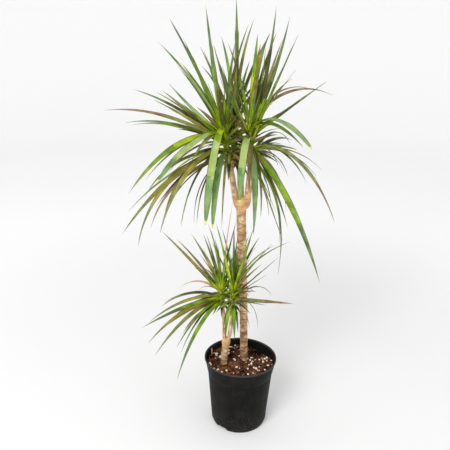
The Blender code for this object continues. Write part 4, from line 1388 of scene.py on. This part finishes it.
def add_leaf(pile, root, leaf, turn, draw, share_of_width=1):
    """One blade as a thin closed shell with a shallow channel along its middle."""
    level, azimuth, rise, fall, length, width, bend, words = leaf
    tint = words.split()[0]
    trimmed = words.endswith("cut")
    fullness = CUT_FULLNESS if trimmed else TIP_FULLNESS
    reach = length / 100
    half = width * share_of_width / 2000
    side = direction(azimuth + 90)
    place = Vector(root)
    twist = draw.uniform(-TWIST_SPREAD, TWIST_SPREAD)
    wave = draw.uniform(0, math.tau)
    base_end = draw.uniform(*FRESH_ENDS[min(int(level * 2), 1)])
    ends = (base_end, draw.uniform(*FADE_STARTS), 2 if trimmed else draw.uniform(*TIP_STARTS))
    last = round(BLADE_STEPS * CUT_AT) if trimmed else BLADE_STEPS
    back = BLADE_ACROSS[-2:0:-1]
    ring_size = len(BLADE_ACROSS) + len(back)
    first = len(pile["points"])
    raggeds = [draw.uniform(-RAGGED, RAGGED) for column in BLADE_ACROSS]
    for step in range(last + 1):
        share = step / BLADE_STEPS
        along = direction(azimuth, mix(rise, fall, share ** bend))
        up = along.cross(side)
        tilt = math.radians(turn + twist * (share - 0.2))
        across = side * math.cos(tilt) + up * math.sin(tilt)
        above = along.cross(across)
        if step == BLADE_STEPS:
            pile["points"].append(place)
            break
        wide = half * blade_width(share, fullness)
        fold = CHANNEL * mix(*CHANNEL_SPREAD, min(1, share * 2.5))
        thick = BLADE_THICKNESS * mix(1, 0.4, share)
        flutter = FLUTTER * half * math.sin(wave + share * FLUTTER_TURNS)
        for parts, depth in ((BLADE_ACROSS, 0), (back, thick)):
            for part in parts:
                lift = wide * fold * (abs(part) ** 1.2 - 0.35) + flutter * part
                raised = lift - depth * (1 - part * part)
                pile["points"].append(place + across * wide * part + above * raised)
        middle = mix(rise, fall, ((step + 0.5) / BLADE_STEPS) ** bend)
        place = place + direction(azimuth, middle) * (reach / BLADE_STEPS)

    lengths = [step / BLADE_STEPS * reach for step in range(last + 1)]
    off_middle = [half * part for part in BLADE_ACROSS + back]
    add_face(pile, tuple(range(first, first + ring_size)), [(0, off) for off in off_middle], "base")
    for step in range(last):
        low = first + step * ring_size
        near, far = lengths[step], lengths[step + 1]
        for corner in range(ring_size):
            after = (corner + 1) % ring_size
            column = corner if corner < len(BLADE_ACROSS) - 1 else ring_size - 1 - corner
            finish = blade_finish(step / BLADE_STEPS, column, tint, ends, raggeds[column])
            if trimmed and step >= last - 1:
                finish = "cut"
            corners = (low + after, low + corner)
            uvs = [(near, off_middle[after]), (near, off_middle[corner])]
            if step + 1 == BLADE_STEPS:
                add_face(pile, corners + (low + ring_size,), uvs + [(far, 0)], finish)
            else:
                add_face(pile, corners + (low + ring_size + corner, low + ring_size + after),
                         uvs + [(far, off_middle[corner]), (far, off_middle[after])], finish)
    if trimmed:
        top = first + last * ring_size
        add_face(pile, tuple(reversed(range(top, top + ring_size))),
                 [(lengths[-1], off) for off in reversed(off_middle)], "cut")


def add_base(pile, shoot, level, azimuth, finish, draw):
    """An old leaf base: a short curved scale that clasps the shoot."""
    radius = SHOOTS[shoot][2] + BASE_GAP
    height = draw.uniform(*BASE_HEIGHT)
    flare = draw.uniform(*BASE_FLARE)
    half_span = draw.uniform(*BASE_SPAN)
    middle = shoot_place(shoot, level)
    axis = (shoot_place(shoot, 1) - shoot_place(shoot, 0)).normalized()
    first = len(pile["points"])
    for wall in (0, BASE_THICKNESS):
        for rise in range(BASE_RISES + 1):
            share = rise / BASE_RISES
            for step in range(BASE_STEPS + 1):
                way = mix(-1, 1, step / BASE_STEPS)
                out = direction(azimuth + way * half_span * (1 - BASE_NARROWING * share))
                reach = radius - wall + flare * share * share
                pile["points"].append(middle + axis * height * share + out * reach)
    row = BASE_STEPS + 1
    layer = row * (BASE_RISES + 1)
    faces = []
    for rise in range(BASE_RISES):
        for step in range(BASE_STEPS):
            low = rise * row + step
            faces.append((low, low + 1, low + row + 1, low + row))
            faces.append((layer + low + 1, layer + low, layer + low + row, layer + low + row + 1))
    for step in range(BASE_STEPS):
        top = BASE_RISES * row + step
        faces.append((step + 1, step, layer + step, layer + step + 1))
        faces.append((top, top + 1, layer + top + 1, layer + top))
    for rise in range(BASE_RISES):
        left = rise * row
        right = left + BASE_STEPS
        faces.append((left, left + row, layer + left + row, layer + left))
        faces.append((right + row, right, layer + right, layer + right + row))
    for face in faces:
        uvs = [(0.01 * corner, 0.002 * corner) for corner in range(len(face))]
        add_face(pile, tuple(first + corner for corner in face), uvs, finish)


def pile_object(name, pile, finishes):
    """A mesh of all the leaves in a pile, with a finish for each face and its own map."""
    made = mesh_object(name, pile["points"], pile["faces"])
    mesh = made.data
    used = [label for label in LEAF_TINTS if label in set(pile["finishes"])]
    for label in used:
        mesh.materials.append(finishes[label])
    numbers = {label: number for number, label in enumerate(used)}
    mesh.polygons.foreach_set("material_index", [numbers[label] for label in pile["finishes"]])
    flat = [value for uvs in pile["uvs"] for uv in uvs for value in uv]
    mesh.uv_layers.new(name="blade").data.foreach_set("uv", flat)
    return smooth(made)


def make_head(shoot, finishes):
    """All leaves of one head, each kind apart: living leaves, dried ones and old bases."""
    living, dried, bases = new_pile(), new_pile(), new_pile()
    shapes = random.Random("blades " + shoot)
    kind = kind_of(shoot)
    for leaves in (SEEN_LEAVES[shoot], hidden_leaves(shoot), beside_leaves(shoot), inner_leaves(shoot)):
        draw = random.Random(shoot)
        for leaf in leaves:
            # Leaves at the sides turn their upper faces to the light at the front
            wobble = draw.uniform(-TURN_SPREAD, TURN_SPREAD)
            turn = LIGHT_TURN * math.cos(math.radians(leaf[1])) + wobble
            pile = dried if leaf[7] == "dry" else living
            add_leaf(pile, leaf_root(shoot, leaf[0], leaf[1]), leaf, turn, shapes, WIDTH_SHARE[kind])
    for leaf in spear_leaves(shoot):
        add_leaf(living, shoot_place(shoot, SPEAR_LEVEL), leaf, 0, shapes)
    count = BASES[kind]
    for number in range(count):
        level = mix(*BASE_LEVELS, number / count)
        finish = "dry" if number < count * BASE_DRY_SHARE else ("fresh" if number % 3 else "base")
        add_base(bases, shoot, level, number * GOLDEN_ANGLE, finish, shapes)
    nodes = [shoot + "_tuft"] + [shoot + "_skirt_" + str(number + 1) for number in range(SKIRTS[shoot][0])]
    keep(pile_object(shoot + "_leaves", living, finishes), "leaf", *nodes)
    keep(pile_object(shoot + "_bases", bases, finishes), "leaf")
    if dried["points"]:
        keep(pile_object(shoot + "_dried", dried, finishes), "leaf")


# Stage, lights and camera

def make_stage():
    """A pale round floor that bends up into a wall, open above."""
    profile = [(reach, 0) for reach in FLOOR_RINGS]
    for step in range(1, STAGE_BEND_STEPS + 1):
        angle = math.pi / 2 * step / STAGE_BEND_STEPS
        profile.append((FLOOR_RINGS[-1] + WALL_BEND * math.sin(angle), WALL_BEND * (1 - math.cos(angle))))
    profile.append((FLOOR_RINGS[-1] + WALL_BEND, WALL_HEIGHT))
    rings = [[Vector((0, 0, 0))]] + [ring_of(reach, height, STAGE_SIDES) for reach, height in profile]
    floor = smooth(ringed_mesh("floor", rings, stage_material(), capped=False))


def light_studio():
    scene = bpy.context.scene
    scene.world = bpy.data.worlds.new("studio")
    scene.world.use_nodes = True
    sky = scene.world.node_tree.nodes["Background"]
    sky.inputs["Color"].default_value = (1, 1, 1, 1)
    sky.inputs["Strength"].default_value = WORLD_STRENGTH
    for name, (place, size, energy) in LIGHTS.items():
        light = bpy.data.lights.new(name, "AREA")
        light.shape = "SQUARE"
        light.size = size
        light.energy = energy
        lamp = bpy.data.objects.new(name, light)
        lamp.location = place
        lamp.rotation_euler = (Vector(LIGHTS_AIM) - Vector(place)).to_track_quat("-Z", "Y").to_euler()
        scene.collection.objects.link(lamp)


def place_camera():
    yaw, pitch, roll = (math.radians(angle) for angle in (CAMERA_YAW, CAMERA_PITCH, CAMERA_ROLL))
    ahead = Vector((-math.sin(yaw) * math.cos(pitch), math.cos(yaw) * math.cos(pitch), -math.sin(pitch)))
    level_right = Vector((math.cos(yaw), math.sin(yaw), 0))
    level_up = level_right.cross(ahead)
    right = level_right * math.cos(roll) + level_up * math.sin(roll)
    up = level_up * math.cos(roll) - level_right * math.sin(roll)
    camera = bpy.data.cameras.new("camera")
    camera.lens = CAMERA_LENS
    camera.sensor_width = CAMERA_SENSOR
    stand = bpy.data.objects.new("camera", camera)
    turn = Matrix((right, up, -ahead)).transposed().to_4x4()
    turn.translation = Vector(CAMERA_PLACE)
    stand.matrix_world = turn
    bpy.context.scene.collection.objects.link(stand)
    bpy.context.scene.camera = stand


place_camera()
light_studio()
make_stage()
bpy.context.scene.view_settings.view_transform = "Standard"
leaf_finishes = {name: leaf_material(name) for name in LEAF_TINTS}
soil_finishes = {name: crumb_material(name) for name in SOIL_TONES}
bark = bark_material()
make_pot(pot_material())
make_soil(soil_finishes["potting_soil"])
for loose_name in LOOSE:
    scatter(loose_name, soil_finishes)
make_stick(soil_finishes["stick_wood"])
make_wood("tall_wood", "cane_tall", bark)
make_wood("short_wood", "cane_short", bark)
for shoot_name in SHOOTS:
    make_head(shoot_name, leaf_finishes)
